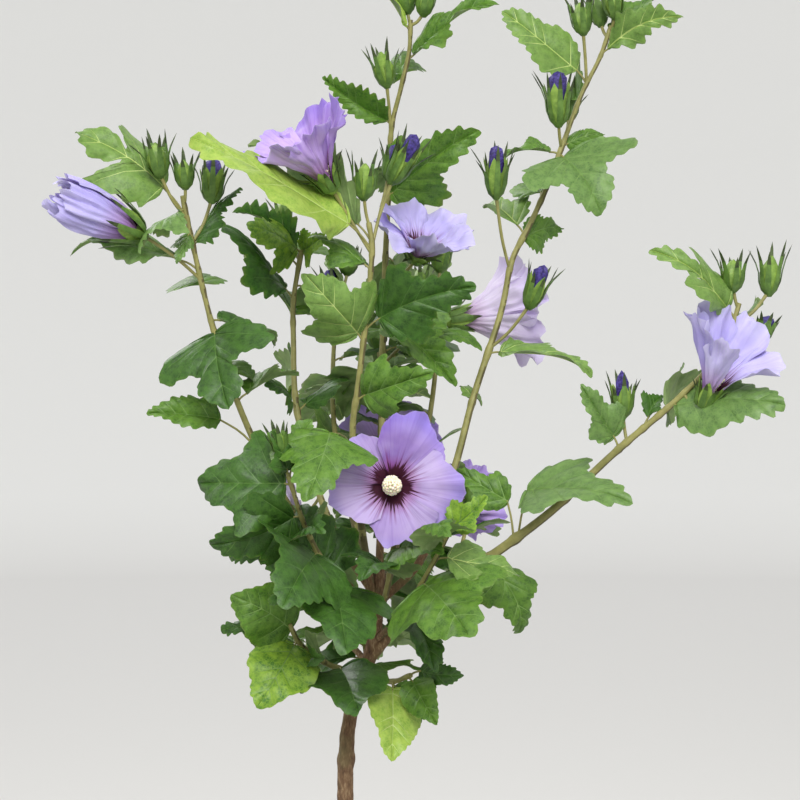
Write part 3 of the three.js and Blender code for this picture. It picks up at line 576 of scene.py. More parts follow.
def off_the_edge(rows: int, columns: int) -> Array:
    """True for the points of a grid that aren't on its edge."""
    inner = np.zeros((rows, columns), bool)
    inner[1:-1, 1:-1] = True
    return inner


def sheet(top: Array, thick: Array, columns: int) -> tuple[Array, Faces]:
    """A thin closed blade from a grid of points, with its two sides joined at the rim.

    Args:
        top: The upper side's points, row by row.
        thick: The step from each point to the lower side.
        columns: The points in a row.

    Returns:
        Points, and the faces of the upper side followed by those of the lower.
    """
    count = len(top)
    index = np.arange(count).reshape(-1, columns)
    inner = off_the_edge(*index.shape)
    lower = index.copy()
    lower[inner] = count + np.arange(inner.sum())
    points = np.vstack([top, (top + thick)[index[inner]]])

    def cells(grid: Array) -> list[list[int]]:
        """The four corners of each cell."""
        corners = (grid[:-1, :-1], grid[:-1, 1:], grid[1:, 1:], grid[1:, :-1])
        return np.stack(corners, -1).reshape(-1, 4).tolist()

    # starting at the same corner, the lower side is split along the same diagonal
    return points, [*map(tuple, cells(index)), *((a, d, c, b) for a, b, c, d in cells(lower))]


def strip(line: Array, across: Array, widths: Sequence[float], thick: float, tip_rows: int = 0) -> Shape:
    """A narrow pointed blade with a raised middle: a bract or a sepal.

    Args:
        line: Its middle, point by point from foot to tip.
        across: The sideways direction.
        widths: Half its width at each point but the last.
        thick: Half its thickness.
        tip_rows: How many of its last rows, with its point, take the next material.

    Returns:
        Points, faces and material numbers.
    """
    points: list[Array] = []
    for i, width in enumerate(widths):
        heading = unit(line[i + 1] - line[max(i - 1, 0)])
        rise = unit(np.cross(across, heading)) * thick
        points += [line[i] - across * width, line[i] + rise, line[i] + across * width, line[i] - rise]
    tip, last = len(points), len(points) - 4
    faces = [(3, 2, 1, 0)]
    for low in range(0, last, 4):
        for k in range(4):
            a, b = low + k, low + (k + 1) % 4
            faces.append((a, b, b + 4, a + 4))
    faces += [(last + k, last + (k + 1) % 4, tip) for k in range(4)]
    first_marked = len(faces) - 4 * (tip_rows + 1) if tip_rows else len(faces)
    return np.array([*points, line[-1]]), faces, [int(k >= first_marked) for k in range(len(faces))]


def closed_rings(rings: int, sides: int) -> Faces:
    """The faces of a closed body made of a point, rings of points, and a point again."""
    faces: Faces = []
    last = (rings - 1) * sides
    for k in range(sides):
        near, far = 1 + k, 1 + (k + 1) % sides
        faces.append((0, far, near))
        for low in range(0, last, sides):
            faces.append((low + near, low + far, low + sides + far, low + sides + near))
        faces.append((last + near, last + far, rings * sides + 1))
    return faces


def revolve(profile: Sequence[Pair], sides: int) -> Shape:
    """A closed turned shape about the upright axis.

    Args:
        profile: (radius, height) from the axis round to the axis again.
        sides: The corners of a ring.

    Returns:
        Points, faces and material numbers.
    """
    points = [(0.0, 0.0, profile[0][1])]
    for radius, height in profile[1:-1]:
        points += [(radius * math.cos(turn), radius * math.sin(turn), height) for turn in full_turn(sides)]
    points.append((0.0, 0.0, profile[-1][1]))
    return plain(points, closed_rings(len(profile) - 2, sides))


# ---- materials
def paint(colour: str) -> tuple[float, ...]:
    """An sRGB hex colour as linear values."""
    parts = [int(colour[i:i + 2], 16) / 255 for i in (1, 3, 5)]
    linear = [c / 12.92 if c <= 0.04045 else ((c + 0.055) / 1.055) ** 2.4 for c in parts]
    return (*linear, 1.0)


def pattern_scale(size: float) -> float:
    """The scale that gives a noise pattern spots of a size in millimetres."""
    return 1 / (size * MM)


class Surface:
    """A material in the making, with its node tree and its principled shader."""

    def __init__(self, name: str) -> None:
        """Starts an empty material."""
        self.material = bpy.data.materials.new(name)
        self.material.use_nodes = True
        self.tree = self.material.node_tree
        self.shader = next(n for n in self.tree.nodes if n.type == "BSDF_PRINCIPLED")

    def feed(self, node: bpy.types.Node, inputs: dict | Sequence) -> None:
        """Gives a node's inputs, by name or in order, their value or the output that feeds them."""
        for key, value in inputs.items() if isinstance(inputs, dict) else enumerate(inputs):
            if isinstance(value, Socket):
                self.tree.links.new(value, node.inputs[key])
            else:
                node.inputs[key].default_value = value

    def node(self, kind: str, inputs: dict | Sequence = (), out: int | str = 0,
             stops: Sequence[tuple[float, str]] = (), **settings: object) -> Socket:
        """Adds a node with its settings and links.

        Args:
            kind: Its type, without the word ShaderNode.
            inputs: What feeds it, by name or in order.
            out: The output that is wanted.
            stops: A colour ramp's places and hex colours.
            settings: Its other properties.

        Returns:
            That output.
        """
        made = self.tree.nodes.new(f"ShaderNode{kind}")
        for name, value in settings.items():
            setattr(made, name, value)
        self.feed(made, inputs)
        while stops and len(made.color_ramp.elements) < len(stops):
            made.color_ramp.elements.new(0.5)
        for index, (spot, colour) in enumerate(stops):
            element = made.color_ramp.elements[index]
            element.position, element.color = spot, paint(colour)
        return made.outputs[out]

    def coat(self, body: Socket | tuple[float, ...], *coats: tuple[Socket, str]) -> Socket:
        """Lays colours over a first one, each by its own share."""
        for share, colour in coats:
            # of a colour mix, input 0 is the share, 6 and 7 are the colours, and output 2 the result
            body = self.node("Mix", {0: share, 6: body, 7: paint(colour)}, 2, data_type="RGBA")
        return body

    def finish(self, colour: Socket, roughness: float | Socket, bump: tuple[Socket, float, float] | None,
               inputs: dict) -> bpy.types.Material:
        """Dresses the shader.

        Args:
            colour: Its colour.
            roughness: Its roughness.
            bump: What drives its relief, with the relief's height in millimetres and its strength.
            inputs: What else the shader needs, by name.

        Returns:
            The finished material.
        """
        self.feed(self.shader, {"Base Color": colour, "Roughness": roughness, **inputs})
        if bump:
            height, depth, strength = bump
            normal = self.node("Bump", {"Height": height, "Distance": depth * MM, "Strength": strength})
            self.feed(self.shader, {"Normal": normal})
        return self.material


@dataclass(frozen=True)
class Skin:
    """Living plant skin: two shades that drift into each other, with a fine grain.

    The waxy cell layer gives a soft broad shine over a faintly uneven colour, and light
    passes a little way in.
    """

    name: str
    colour: str
    shade: str
    roughness: float = 0.5
    spot: float = 9.0  # size of the drifting patches
    grain: float = 0.9  # size of the fine relief
    relief: float = 0.12  # height of that relief
    glow: float = 0.1  # how much light passes through
    ior: float = 1.42
    net: float = 0.0  # size of the cells between the finest veins, or 0 for none

    def make(self) -> bpy.types.Material:
        """Builds the material."""
        surface = Surface(self.name)
        place = surface.node("TexCoord", out="Object")
        patches = surface.node("TexNoise", {
            "Vector": place, "Scale": pattern_scale(self.spot), "Detail": 3.0, "Roughness": 0.6})
        body = surface.node("ValToRGB", (patches,), stops=((0.36, self.shade), (0.64, self.colour)))
        height = surface.node("TexNoise", {
            "Vector": place, "Scale": pattern_scale(self.grain), "Detail": 2.0})
        if self.net:
            cells = surface.node("TexVoronoi", {"Vector": place, "Scale": pattern_scale(self.net)},
                                 "Distance", feature="DISTANCE_TO_EDGE")
            lines = surface.node("MapRange", (cells, 0.02, 0.14, 0.55, 0.0))
            body = surface.coat(body, (lines, self.colour))
            height = surface.node("Math", (lines, -0.25, height), operation="MULTIPLY_ADD")
        return surface.finish(body, self.roughness, (height, self.relief, 0.6), {
            "IOR": self.ior, "Subsurface Weight": self.glow, "Subsurface Radius": (0.5, 1.0, 0.25),
            "Subsurface Scale": MM})


@dataclass(frozen=True)
class Palette:
    """The colours of a bloom's petals, and how boldly their maroon is drawn."""

    name: str
    pale: str
    deep: str
    rim: str
    bold: float = 1.0


FRESH = Palette("lilac", "#bfaed8", "#7250a0", "#7468cc")
FLUSHED = Palette("magenta lilac", "#ccb4e8", "#744ba8", "#8b80da", 1.2)
WASHED = Palette("pale blue lilac", "#c0b9e4", "#887ccb", "#d2cdf0", 0.6)
FADED = Palette("faded", "#dccfeb", "#bca5d9", "#c4b6e8", 0.7)
PALETTES = {OPEN: FRESH, FUNNEL: FLUSHED, TILTED: WASHED, CUP: WASHED, FURLED: WASHED, SIDE: FADED}


@dataclass(frozen=True)
class Petal:
    """A rose of sharon petal: thin and matt, lilac over a deep maroon foot.

    Fine veins fan out from the foot, and magenta runs out along some of them in streaks. The
    piece's own map runs across the petal and from its foot to its rim, and its `tone` says how
    deep the lilac is. The outer side has only a magenta flush at its foot.
    """

    palette: Palette
    inside: bool
    foot: str = "#93307a"
    ray: str = "#6b1a55"
    eye: str = "#3a0a22"
    roughness: float = 0.62

    def make(self) -> bpy.types.Material:
        """Builds the material."""
        colours = self.palette
        surface = Surface(f"{colours.name} petal, {'inner' if self.inside else 'outer'} side")
        place = surface.node("UVMap", uv_map="petal")
        out = surface.node("SeparateXYZ", (place,), "Y")
        tone = surface.node("Attribute", out="Fac", attribute_name="tone")
        veins, rays, clouds = (
            surface.node("TexNoise", {
                "Vector": surface.node("Mapping", {"Vector": place, "Scale": drawn}),
                "Scale": 1.0, "Detail": 2.0})
            for drawn in ((34.0, 0.7, 1.0), (21.0, 0.3, 1.0), (2.2, 2.6, 1.0))
        )
        body = surface.coat(
            paint(colours.pale), (tone, colours.deep),
            (surface.node("MapRange", (clouds, 0.42, 0.7, 0.0, 0.4)), colours.pale),
            (surface.node("MapRange", (out, 0.74, 1.02, 0.0, 0.5)), colours.rim),
            (surface.node("MapRange", (veins, 0.5, 0.7, 0.0, 0.3 * colours.bold)), colours.deep))
        if self.inside:
            body = surface.coat(body, *self._maroon(surface, out, rays))
        else:
            body = surface.coat(body, (surface.node("MapRange", (out, 0.12, 0.5, 0.6, 0.0)), self.foot))
        return surface.finish(body, self.roughness, (veins, 0.45, 0.5), {
            "IOR": 1.38, "Subsurface Weight": 0.25, "Subsurface Radius": (1.0, 0.8, 1.2),
            "Subsurface Scale": MM})

    def _maroon(self, surface: Surface, out: Socket, rays: Socket) -> list[tuple[Socket, str]]:
        """The coats of the inner side's foot: a flush, the rays and the uneven eye.

        Args:
            surface: The material.
            out: How far from the petal's foot a place is.
            rays: The noise that the rays follow.

        Returns:
            Each coat's share and colour.
        """
        bold = self.palette.bold
        near = surface.node("MapRange", (out, 0.3, 0.48, 0.5 * bold, 0.0))
        streak = surface.node("MapRange", (rays, 0.5, 0.62, 0.0, 1.0))
        fade = surface.node("MapRange", (out, 0.34, 0.62, 0.9 * bold, 0.0))
        drawn = surface.node("Math", (streak, fade), operation="MULTIPLY")
        # the eye reaches farthest along the petal's middle, which is halfway across its map
        share = surface.node("Math", (out.node.outputs["X"],), operation="FRACT")
        side = surface.node("Math", (share, 0.5), operation="SUBTRACT")
        lobe = surface.node("MapRange", (
            surface.node("Math", (side,), operation="ABSOLUTE"), 0.1, 0.5, 0.35, 0.27))
        uneven = surface.node("MapRange", (rays, 0.44, 0.62, -0.02, 0.1))
        edge = surface.node("Math", (lobe, uneven), operation="ADD")
        short = surface.node("Math", (edge, 0.045), operation="SUBTRACT")
        eye = surface.node("MapRange", (out, short, edge, 1.0, 0.0))
        return [(near, self.foot), (drawn, self.ray), (eye, self.eye)]


@dataclass(frozen=True)
class Bark:
    """Thin young bark: grey-brown plates with paler, corky cracks and a dull dry surface."""

    name: str = "corky bark"
    dark: str = "#4a3626"
    middle: str = "#75593f"
    light: str = "#9c8566"
    moss: str = "#6f6a45"
    roughness: float = 0.88

    def make(self) -> bpy.types.Material:
        """Builds the material."""
        surface = Surface(self.name)
        place = surface.node("TexCoord", out="Object")
        upright = surface.node("Mapping", {"Vector": place, "Scale": (1.0, 1.0, 0.28)})
        cracks = surface.node("TexNoise", {
            "Vector": upright, "Scale": pattern_scale(1.6), "Detail": 5.0, "Roughness": 0.65})
        bands = surface.node("TexNoise", {"Vector": place, "Scale": pattern_scale(16), "Detail": 2.0})
        wood = surface.node("ValToRGB", (cracks,), stops=(
            (0.32, self.dark), (0.52, self.middle), (0.7, self.light)))
        mossy = surface.node("MapRange", (bands, 0.48, 0.7, 0.0, 0.6))
        body = surface.coat(wood, (mossy, self.moss))
        return surface.finish(body, self.roughness, (cracks, 0.7, 0.9), {"IOR": 1.5})


@dataclass(frozen=True)
class MouldedPlastic:
    """Injection-moulded polypropylene: near-black, with a satin grain and rubbed, dusty marks."""

    name: str = "moulded polypropylene"
    colour: str = "#242322"
    dust: str = "#6b6259"
    roughness: float = 0.46

    def make(self) -> bpy.types.Material:
        """Builds the material."""
        surface = Surface(self.name)
        place = surface.node("TexCoord", out="Object")
        grain = surface.node("TexNoise", {"Vector": place, "Scale": pattern_scale(0.8), "Detail": 2.0})
        clouds = surface.node("TexNoise", {
            "Vector": place, "Scale": pattern_scale(34), "Detail": 6.0, "Roughness": 0.7})
        dusty = surface.node("MapRange", (clouds, 0.52, 0.8, 0.0, 0.35))
        rough = surface.node("MapRange", (clouds, 0.0, 1.0, self.roughness - 0.1, self.roughness + 0.25))
        body = surface.coat(paint(self.colour), (dusty, self.dust))
        return surface.finish(body, rough, (grain, 0.12, 0.5), {"IOR": 1.49})


@dataclass(frozen=True)
class Earth:
    """Moist peaty compost: dark crumbs with lighter fibres, and no shine."""

    name: str = "peat compost"
    dark: str = "#1d130d"
    light: str = "#5b4230"

    def make(self) -> bpy.types.Material:
        """Builds the material."""
        surface = Surface(self.name)
        place = surface.node("TexCoord", out="Object")
        crumbs = surface.node("TexNoise", {
            "Vector": place, "Scale": pattern_scale(3.2), "Detail": 6.0, "Roughness": 0.7})
        body = surface.node("ValToRGB", (crumbs,), stops=((0.35, self.dark), (0.7, self.light)))
        return surface.finish(body, 0.95, (crumbs, 1.2, 0.9), {})


# Leaf blades: a soft waxy shine, patches of deeper green, and a net of the finest veins.
LEAF_TONES = {
    MID: ("mid green", "#5c802c", "#3c5e1c"),
    # deep green is partly a darker leaf colour and partly painted shade: it goes to leaves that sit in shade
    # deep in the crown
    DARK: ("deep green", "#3f6421", "#264513"),
    PALE: ("pale green", "#739246", "#597736"),
    LIME: ("yellow green", "#9cb44f", "#7b9a38"),
    BRIGHT: ("young green", "#83a335", "#456e22"),
    GREY: ("grey green", "#6b8a48", "#4e6c35"),
}
LEAF_SKINS = {
    tint: Skin(f"leaf blade, {name}", light, shade, roughness=0.47, spot=5, grain=3.2, relief=0.5, net=2.4)
    for tint, (name, light, shade) in LEAF_TONES.items()
}
UNDERSIDE = Skin("leaf underside", "#82975f", "#6b814e", roughness=0.66)
VEIN = Skin("leaf vein", "#74924d", "#638241", roughness=0.5)
VEIN_DARK = Skin("leaf vein on a deep green blade", "#587739", "#496a30", roughness=0.48)
VEIN_PALE = Skin("leaf vein on a pale blade", "#b9c97e", "#a3b768", roughness=0.55)
STEM = Skin("young stem", "#969258", "#7c7a45", roughness=0.5, glow=0.03)
# the riper skin of the limbs' feet, which also stands as painted shade on their lower right sides
STEM_RIPE_AND_SHADED = Skin("ripe stem and painted shade", "#6d663e", "#554e30", roughness=0.56, glow=0.02)
CALYX = Skin("calyx", "#8aa84a", "#688736", roughness=0.48, spot=4)
BRACT = Skin("bract", "#64843a", "#48662a", roughness=0.52, spot=5)
BRACT_TIP = Skin("withered bract tip", "#46552a", "#2f3c1e", roughness=0.6, spot=4, glow=0.02)
CLOSED_PETAL = Skin("rolled petal", "#4d4090", "#271d50", roughness=0.62, spot=1.6, glow=0.06)
STAMEN = Skin("pollen-dusted anther", "#fbf3dd", "#f0e3c2", roughness=0.85, spot=3, glow=0.35)
CUT_WOOD = Skin("dead wood", "#8d7758", "#6d573d", roughness=0.85, spot=3, glow=0.0)


# ---- pieces
def add_object(name: str, data: bpy.types.ID) -> Solid:
    """Adds an object to the scene."""
    made = bpy.data.objects.new(name, data)
    bpy.context.scene.collection.objects.link(made)
    return made


def add_mesh(name: str, points: Array, faces: Faces) -> Solid:
    """Adds an object whose mesh has these points, in millimetres, and faces."""
    mesh = bpy.data.meshes.new(name)
    mesh.from_pydata((points * MM).tolist(), [], faces)
    return add_object(name, mesh)


def select_only(*solids: Solid) -> None:
    """Selects these objects and makes the first the active one."""
    bpy.ops.object.select_all(action="DESELECT")
    for solid in solids:
        solid.select_set(True)
    bpy.context.view_layer.objects.active = solids[0]


@dataclass
class Piece:
    """Many small shapes, kept as arrays and joined into one named piece."""

    name: str
    slot: str
    materials: list[bpy.types.Material]
    replaces: tuple[str, ...] = ()
    smooth: float = 50.0  # edges sharper than this many degrees stay crisp
    points: list[Array] = field(default_factory=list)
    faces: Faces = field(default_factory=list)
    numbers: list[int] = field(default_factory=list)
    places: list[Array] = field(default_factory=list)
    count: int = 0

    def add(self, shape: Shape, number: int = 0, place: Array | None = None) -> None:
        """Adds a shape.

        Args:
            shape: Its points, faces and material numbers.
            number: Added to each material number.
            place: Each point's place on the piece's own map, and how deep its colour is.
        """
        points, faces, numbers = shape
        self.points.append(points)
        self.faces += [tuple(k + self.count for k in face) for face in faces]
        self.numbers += [number + n for n in numbers]
        if place is not None:
            self.places.append(place)
        self.count += len(points)

    def build(self) -> None:
        """Joins the shapes into one object that rides on the plant."""
        made = add_mesh(self.name, np.vstack(self.points), self.faces)
        mesh = made.data
        for material in self.materials:
            mesh.materials.append(material)
        mesh.polygons.foreach_set("material_index", self.numbers)
        mesh.polygons.foreach_set("use_smooth", [True] * len(mesh.polygons))
        mesh.set_sharp_from_angle(angle=math.radians(self.smooth))
        if self.places:
            corners = np.zeros(len(mesh.loops), np.int32)
            mesh.loops.foreach_get("vertex_index", corners)
            placed = np.vstack(self.places).astype(np.float32)
            mesh.uv_layers.new(name="petal").uv.foreach_set("vector", placed[corners, :2].ravel())
            mesh.attributes.new("tone", "FLOAT", "POINT").data.foreach_set("value", placed[:, 2].copy())
        settle(made, self.slot, self.replaces)


def settle(piece: Solid, slot: str, replaces: Sequence[str] = ()) -> None:
    """Fixes a finished piece to the plant and reports it.

    Args:
        piece: The object.
        slot: A material slot's name; not used.
        replaces: The solids that it stands for.
    """
    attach(piece, BODY)
    if replaces:
        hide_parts(*replaces)
    log.info("%s: %d faces", piece.name, len(piece.data.polygons))


# ---- room for the leaves
class Room:
    """Keeps track of where limbs, blossom and leaves are, so that new leaves stay clear."""

    def __init__(self) -> None:
        """Starts with nothing placed."""
        self.placed: list[tuple[str, Array, Array, BVHTree]] = []

    def take(self, owner: str, shape: Shape) -> None:
        """Marks the space of a shape as taken by a shoot."""
        points, faces, _ = shape
        tree = BVHTree.FromPolygons([Vector(p) for p in points], faces)
        self.placed.append((owner, points.min(0), points.max(0), tree))

    def is_clear(self, shape: Shape, beside: str | None = None) -> bool:
        """Tells whether a shape touches nothing that is placed.

        Args:
            shape: The new shape.
            beside: A shoot whose own pieces it may touch.

        Returns:
            True where it is clear.
        """
        points, faces, _ = shape
        low, high = points.min(0), points.max(0)
        tree = None
        for owner, least, most, other in self.placed:
            if owner == beside or (low > most).any() or (high < least).any():
                continue
            tree = tree or BVHTree.FromPolygons([Vector(p) for p in points], faces)
            if tree.overlap(other):
                return False
        return True


# ---- leaves
# Half a leaf, from its foot (0, 0, 0) to its tip (0, 1, 1) but without them: half the width,
# the length, and where its vein leaves the midrib, in shares.
OUTLINES = {
    LOBED: (
        (0.27, 0, 0), (0.6, 0.06, 0.005), (0.92, 0.2, 0.015), (1.1, 0.37, 0.04), (1.02, 0.42, 0.07),
        (0.72, 0.47, 0.15), (0.52, 0.53, 0.26), (0.52, 0.64, 0.38), (0.4, 0.78, 0.57), (0.2, 0.91, 0.78),
        (0.06, 0.985, 0.93)),
    ROUND: (
        (0.3, -0.02, 0), (0.58, 0.05, 0.01), (0.8, 0.2, 0.04), (0.85, 0.35, 0.12), (0.76, 0.53, 0.27),
        (0.57, 0.7, 0.46), (0.33, 0.85, 0.67), (0.12, 0.96, 0.86)),
    NARROW: (
        (0.3, 0.04, 0), (0.62, 0.14, 0.02), (0.82, 0.3, 0.09), (0.84, 0.42, 0.18), (0.7, 0.56, 0.34),
        (0.54, 0.7, 0.5), (0.36, 0.84, 0.68), (0.15, 0.95, 0.86)),
    SLIT: (
        (0.34, 0, 0), (0.7, 0.1, 0.01), (0.96, 0.3, 0.05), (1.04, 0.5, 0.13), (0.92, 0.66, 0.27),
        (0.7, 0.6, 0.31), (0.22, 0.46, 0.37), (0.36, 0.66, 0.48), (0.42, 0.78, 0.58), (0.3, 0.9, 0.74),
        (0.1, 0.98, 0.9)),
    DEEP: (
        (0.3, -0.02, 0), (0.62, 0.04, 0.005), (0.88, 0.18, 0.015), (1.05, 0.4, 0.035), (0.94, 0.47, 0.06),
        (0.64, 0.46, 0.1), (0.4, 0.48, 0.17), (0.32, 0.56, 0.28), (0.38, 0.68, 0.42), (0.3, 0.82, 0.62),
        (0.12, 0.94, 0.82)),
}
OUTLINES[SLIM] = tuple((0.7 * x, y, start) for x, y, start in OUTLINES[NARROW])
VEIN_ENDS = (0.2, 0.42, 0.6, 0.74, 0.87)  # where the veins reach that outline


@dataclass(frozen=True)
class Drape:
    """How a blade is bent, in shares of its length; none of it moves the foot or the tip."""

    arch: float  # the whole blade's rise
    bow: float  # the same, nearer to the tip
    crease: float  # the fold along the midrib
    roll: float  # the margins' turn downward
    wave: float  # the margins' ups and downs
    beat: float  # how many of those
    phase: float
    quilt: float  # the swelling between the veins
    twist: float
    sway: float  # the midrib's sideways bend

    @classmethod
    def drawn(cls, draw: Draw) -> "Drape":
        """A blade's own bends, from a stream of random numbers."""
        return cls(
            arch=mix(0.02, 0.13, draw()), bow=mix(-0.02, 0.13, draw()), crease=mix(-0.06, 0.26, draw()),
            roll=mix(0.0, 0.22, draw()), wave=mix(0.025, 0.06, draw()), beat=mix(1.2, 2.4, draw()),
            phase=draw() * 2 * math.pi, quilt=mix(0.014, 0.03, draw()), twist=mix(-0.5, 0.5, draw()),
            sway=mix(-0.06, 0.06, draw()),
        )

    def rise(self, x: float, y: float, share: float, swell: float) -> float:
        """The height of a point of the blade.

        Args:
            x: Its place across, in shares of the half width.
            y: Its place along.
            share: Its place from the midrib to the margin.
            swell: 1 midway between two veins, and 0 on a vein.
        """
        turned = math.sin(self.phase + math.copysign(1.4, x) + 2 * math.pi * self.beat * y)
        middle = 4 * y * (1 - y)
        return (self.arch * middle + self.bow * 6.75 * y * y * (1 - y) + self.crease * abs(x)
                - self.roll * x * x + self.wave * share**2 * turned + self.twist * x * 0.5 * middle
                + self.quilt * swell * math.sin(math.pi * min(share, 0.98)))


@dataclass
class LeafMaker:
    """Makes leaves, each with its own teeth, bends and veins, and its stalk."""

    thickness: float = 0.3
    vein_width: float = 0.42
    vein_sink: float = 0.3
    stalk: Pair = (0.75, 0.6)
    bite: Pair = (0.03, 0.05)  # how far the teeth stand out, in shares of the length
    toothed: Pair = (0.17, 0.985)  # the part of the margin that bears teeth
    tilt: float = 24.0  # degrees that a blade may lean to one side
    calm: float = 0.5  # a rounded leaf's share of that tilt and bite

    def liveliness(self, leaf: Leaf) -> float:
        """How much of the tilt and bite a leaf's form has."""
        return self.calm if leaf.form is ROUND else 1.0

    def place(self, root: Array, leaf: Leaf, tip: Array) -> tuple[Array, ...]:
        """The blade's foot, its direction with its length, its upper side and its sideways.

        Args:
            root: Where the stalk leaves the stem.
            leaf: The leaf.
            tip: The blade's tip.

        Returns:
            Foot, direction, upper side and sideways.
        """
        rise = unit(unit(tip - root) + leaf.lift * UP)
        foot = root + rise * leaf.stalk
        along = tip - foot
        heading = unit(along)
        upper = np.array((0, -leaf.face, 1 - abs(leaf.face)))
        upper = unit(upper - upper.dot(heading) * heading)
        lean = math.radians(self.tilt * self.liveliness(leaf)) * math.sin(12.9 * leaf.at + 0.37 * leaf.tip[0])
        upper = math.cos(lean) * upper + math.sin(lean) * np.cross(heading, upper)
        return foot, along, upper, np.cross(heading, upper)

    def proxy(self, root: Array, leaf: Leaf, tip: Array) -> Shape:
        """A plain kite of the blade's size, which tells whether it has room.

        Args:
            root: Where the stalk leaves the stem.
            leaf: The leaf.
            tip: The blade's tip.

        Returns:
            Points, faces and material numbers.
        """
        foot, along, upper, side = self.place(root, leaf, tip)
        half = leaf.wide * np.linalg.norm(along) * 0.5
        points = [foot]
        for share, width in ((0.4, 1.0), (0.6, 0.55)):
            middle = foot + along * share + upper * np.linalg.norm(along) * 0.05
            points += [middle - side * half * width, middle, middle + side * half * width]
        points.append(foot + along)
        return plain(points, [(0, 1, 2), (0, 2, 3), (1, 4, 5, 2), (2, 5, 6, 3), (4, 7, 5), (5, 7, 6)])

    def half(self, leaf: Leaf, length: float, teeth: int, fine: bool, draw: Draw) -> Array:
        """The margin of one half, tooth by tooth.

        Args:
            leaf: The leaf.
            length: The blade's length.
            teeth: How many teeth it has.
            fine: True for a leaf that shows well.
            draw: A stream of random numbers.

        Returns:
            Rows of (distance from the midrib, distance from the foot, share of the length where
            the row leaves the midrib, 1 where a vein starts).
        """
        wide = leaf.wide * length * 0.5
        pinch = mix(0.78, 1.1, draw())
        outline = ((0, 0, 0), *OUTLINES[leaf.form], (0, 1, 1))
        line = Route([(x * (pinch if 0.55 < y < 0.75 else 1), y, z) for x, y, z in outline])
        bite = length * mix(*self.bite, draw()) * self.liveliness(leaf)
        samples = 5 if fine else 3
        peak = round(0.6 * samples)
        first, last = self.toothed
        step = (last - first) / teeth
        ends = {min(range(teeth), key=lambda n: abs(first + step * (n + 0.6) - end)) for end in VEIN_ENDS}
        places = [(at, 0.0, False) for at in (0.03, 0.08, 0.13)]
        for n in range(teeth):
            size = bite * mix(0.55, 1.3, draw())
            for m in range(samples):
                at = first + step * (n + m / samples)
                hump = math.sin(math.pi * (m / samples) ** 1.7) ** 0.9
                ease = min(1.0, (at - first) / 0.1 + 0.25) * min(1.0, (1 - at) / 0.1)
                places.append((at, size * hump * ease, m == peak and n in ends))
        rows = []
        gap = self.vein_width / length
        for at, hump, vein in places:
            x, y, start = line.at(at)
            heading = line.heading(at)
            run = unit(np.array((heading[0] * wide, heading[1] * length)))
            spot = (max(x * wide + run[1] * hump, 0.05), y * length - run[0] * hump)
            if vein:
                rows += [(*spot, start - gap, 1.0), (*spot, start + gap, 0.0)]
            else:
                rows.append((*spot, start, 0.0))
        made = np.array(rows)
        made[:, 2] = np.maximum.accumulate(np.clip(made[:, 2], 0, 1))
        return made

    @staticmethod
    def swells(veins: Array) -> Array:
        """How far each row lies between two veins: 1 midway and 0 on a vein."""
        stops = np.array([-1.0, *np.nonzero(veins)[0] + 0.5, len(veins)])
        rows = np.arange(len(veins))
        after = np.clip(np.searchsorted(stops, rows), 1, len(stops) - 1)
        share = (rows - stops[after - 1]) / (stops[after] - stops[after - 1])
        return np.sin(np.pi * share) ** 0.7

    def blade(self, root: Array, leaf: Leaf, tip: Array, fine: bool,
              draw: Draw) -> Shape:
        """The blade: two thin joined sides, with its veins as faces of their own.

        Args:
            root: Where the stalk leaves the stem.
            leaf: The leaf.
            tip: The blade's tip.
            fine: True for a leaf that shows well.
            draw: A stream of random numbers.

        Returns:
            Points, faces and material numbers: 0 upper side, 1 lower side, 2 vein.
        """
        foot, along, upper, side = self.place(root, leaf, tip)
        length = float(np.linalg.norm(along))
        wide = leaf.wide * length * 0.5
        heading = along / length
        drape = Drape.drawn(draw)
        teeth = (8 if fine else 6) + int(draw() * 4)
        halves = [self.half(leaf, length, teeth, fine, draw) for _ in range(2)]
        starts = (halves[0][:, 2] + halves[1][:, 2]) / 2
        veins = halves[0][:, 3] > 0
        swells = self.swells(veins)
        columns = (0.4, 0.75, 1.0) if fine else (0.55, 1.0)
        width = 2 * (len(columns) + 1) + 1
        top, drop = [foot] * width, [upper * 0.0] * width

        def spot(out: float, reach: float, share: float, swell: float, sink: float) -> Array:
            """A point of the blade, bent into place."""
            y = min(reach / length, 1.0)
            bent = drape.rise(out / wide, y, share, swell) * length - sink
            across = out + drape.sway * 4 * y * (1 - y) * length
            return foot + heading * reach + side * across + upper * bent

        for i, start in enumerate(starts):
            line = []
            rib = self.vein_width * (1 - 0.6 * start)
            near = veins[i] or (i and veins[i - 1])
            for sign, half in zip((-1, 1), halves):
                out, reach = half[i, :2]
                spots = []
                for share in (min(0.3, rib / out), *columns):
                    place = start * length + (reach - start * length) * share
                    sink = self.vein_sink * (1 - share) if near else 0.0
                    spots.append(spot(sign * out * share, place, share, swells[i], sink))
                line.append(spots)
            middle = spot(0.0, start * length, 0.0, 0.0, self.vein_sink)
            top += [*reversed(line[0]), middle, *line[1]]
            drop += [-upper * self.thickness] * width
        top += [foot + along] * width
        drop += [upper * 0.0] * width
        points, faces = sheet(np.array(top), np.array(drop), width)
        numbers = []
        cells = len(faces) // 2
        for k in range(len(faces)):
            row, column = divmod(k % cells, width - 1)
            on_rib = column in (width // 2 - 1, width // 2)
            on_vein = 0 < row <= len(veins) and veins[row - 1]
            numbers.append(2 if on_rib or on_vein else int(k >= cells))
        return tidy(points, faces, numbers)

    def petiole(self, root: Array, leaf: Leaf, tip: Array) -> Shape:
        """The stalk, which bows up from the stem to the blade's foot."""
        foot, along, _, _ = self.place(root, leaf, tip)
        bow = (root + foot) / 2 + UP * leaf.stalk * 0.06
        route = Route((root, bow, foot + unit(along) * 1.2))
        thick, thin = self.stalk
        return tube(route, np.linspace(0, 1, 6), lambda at: mix(thick, thin, at), 6)


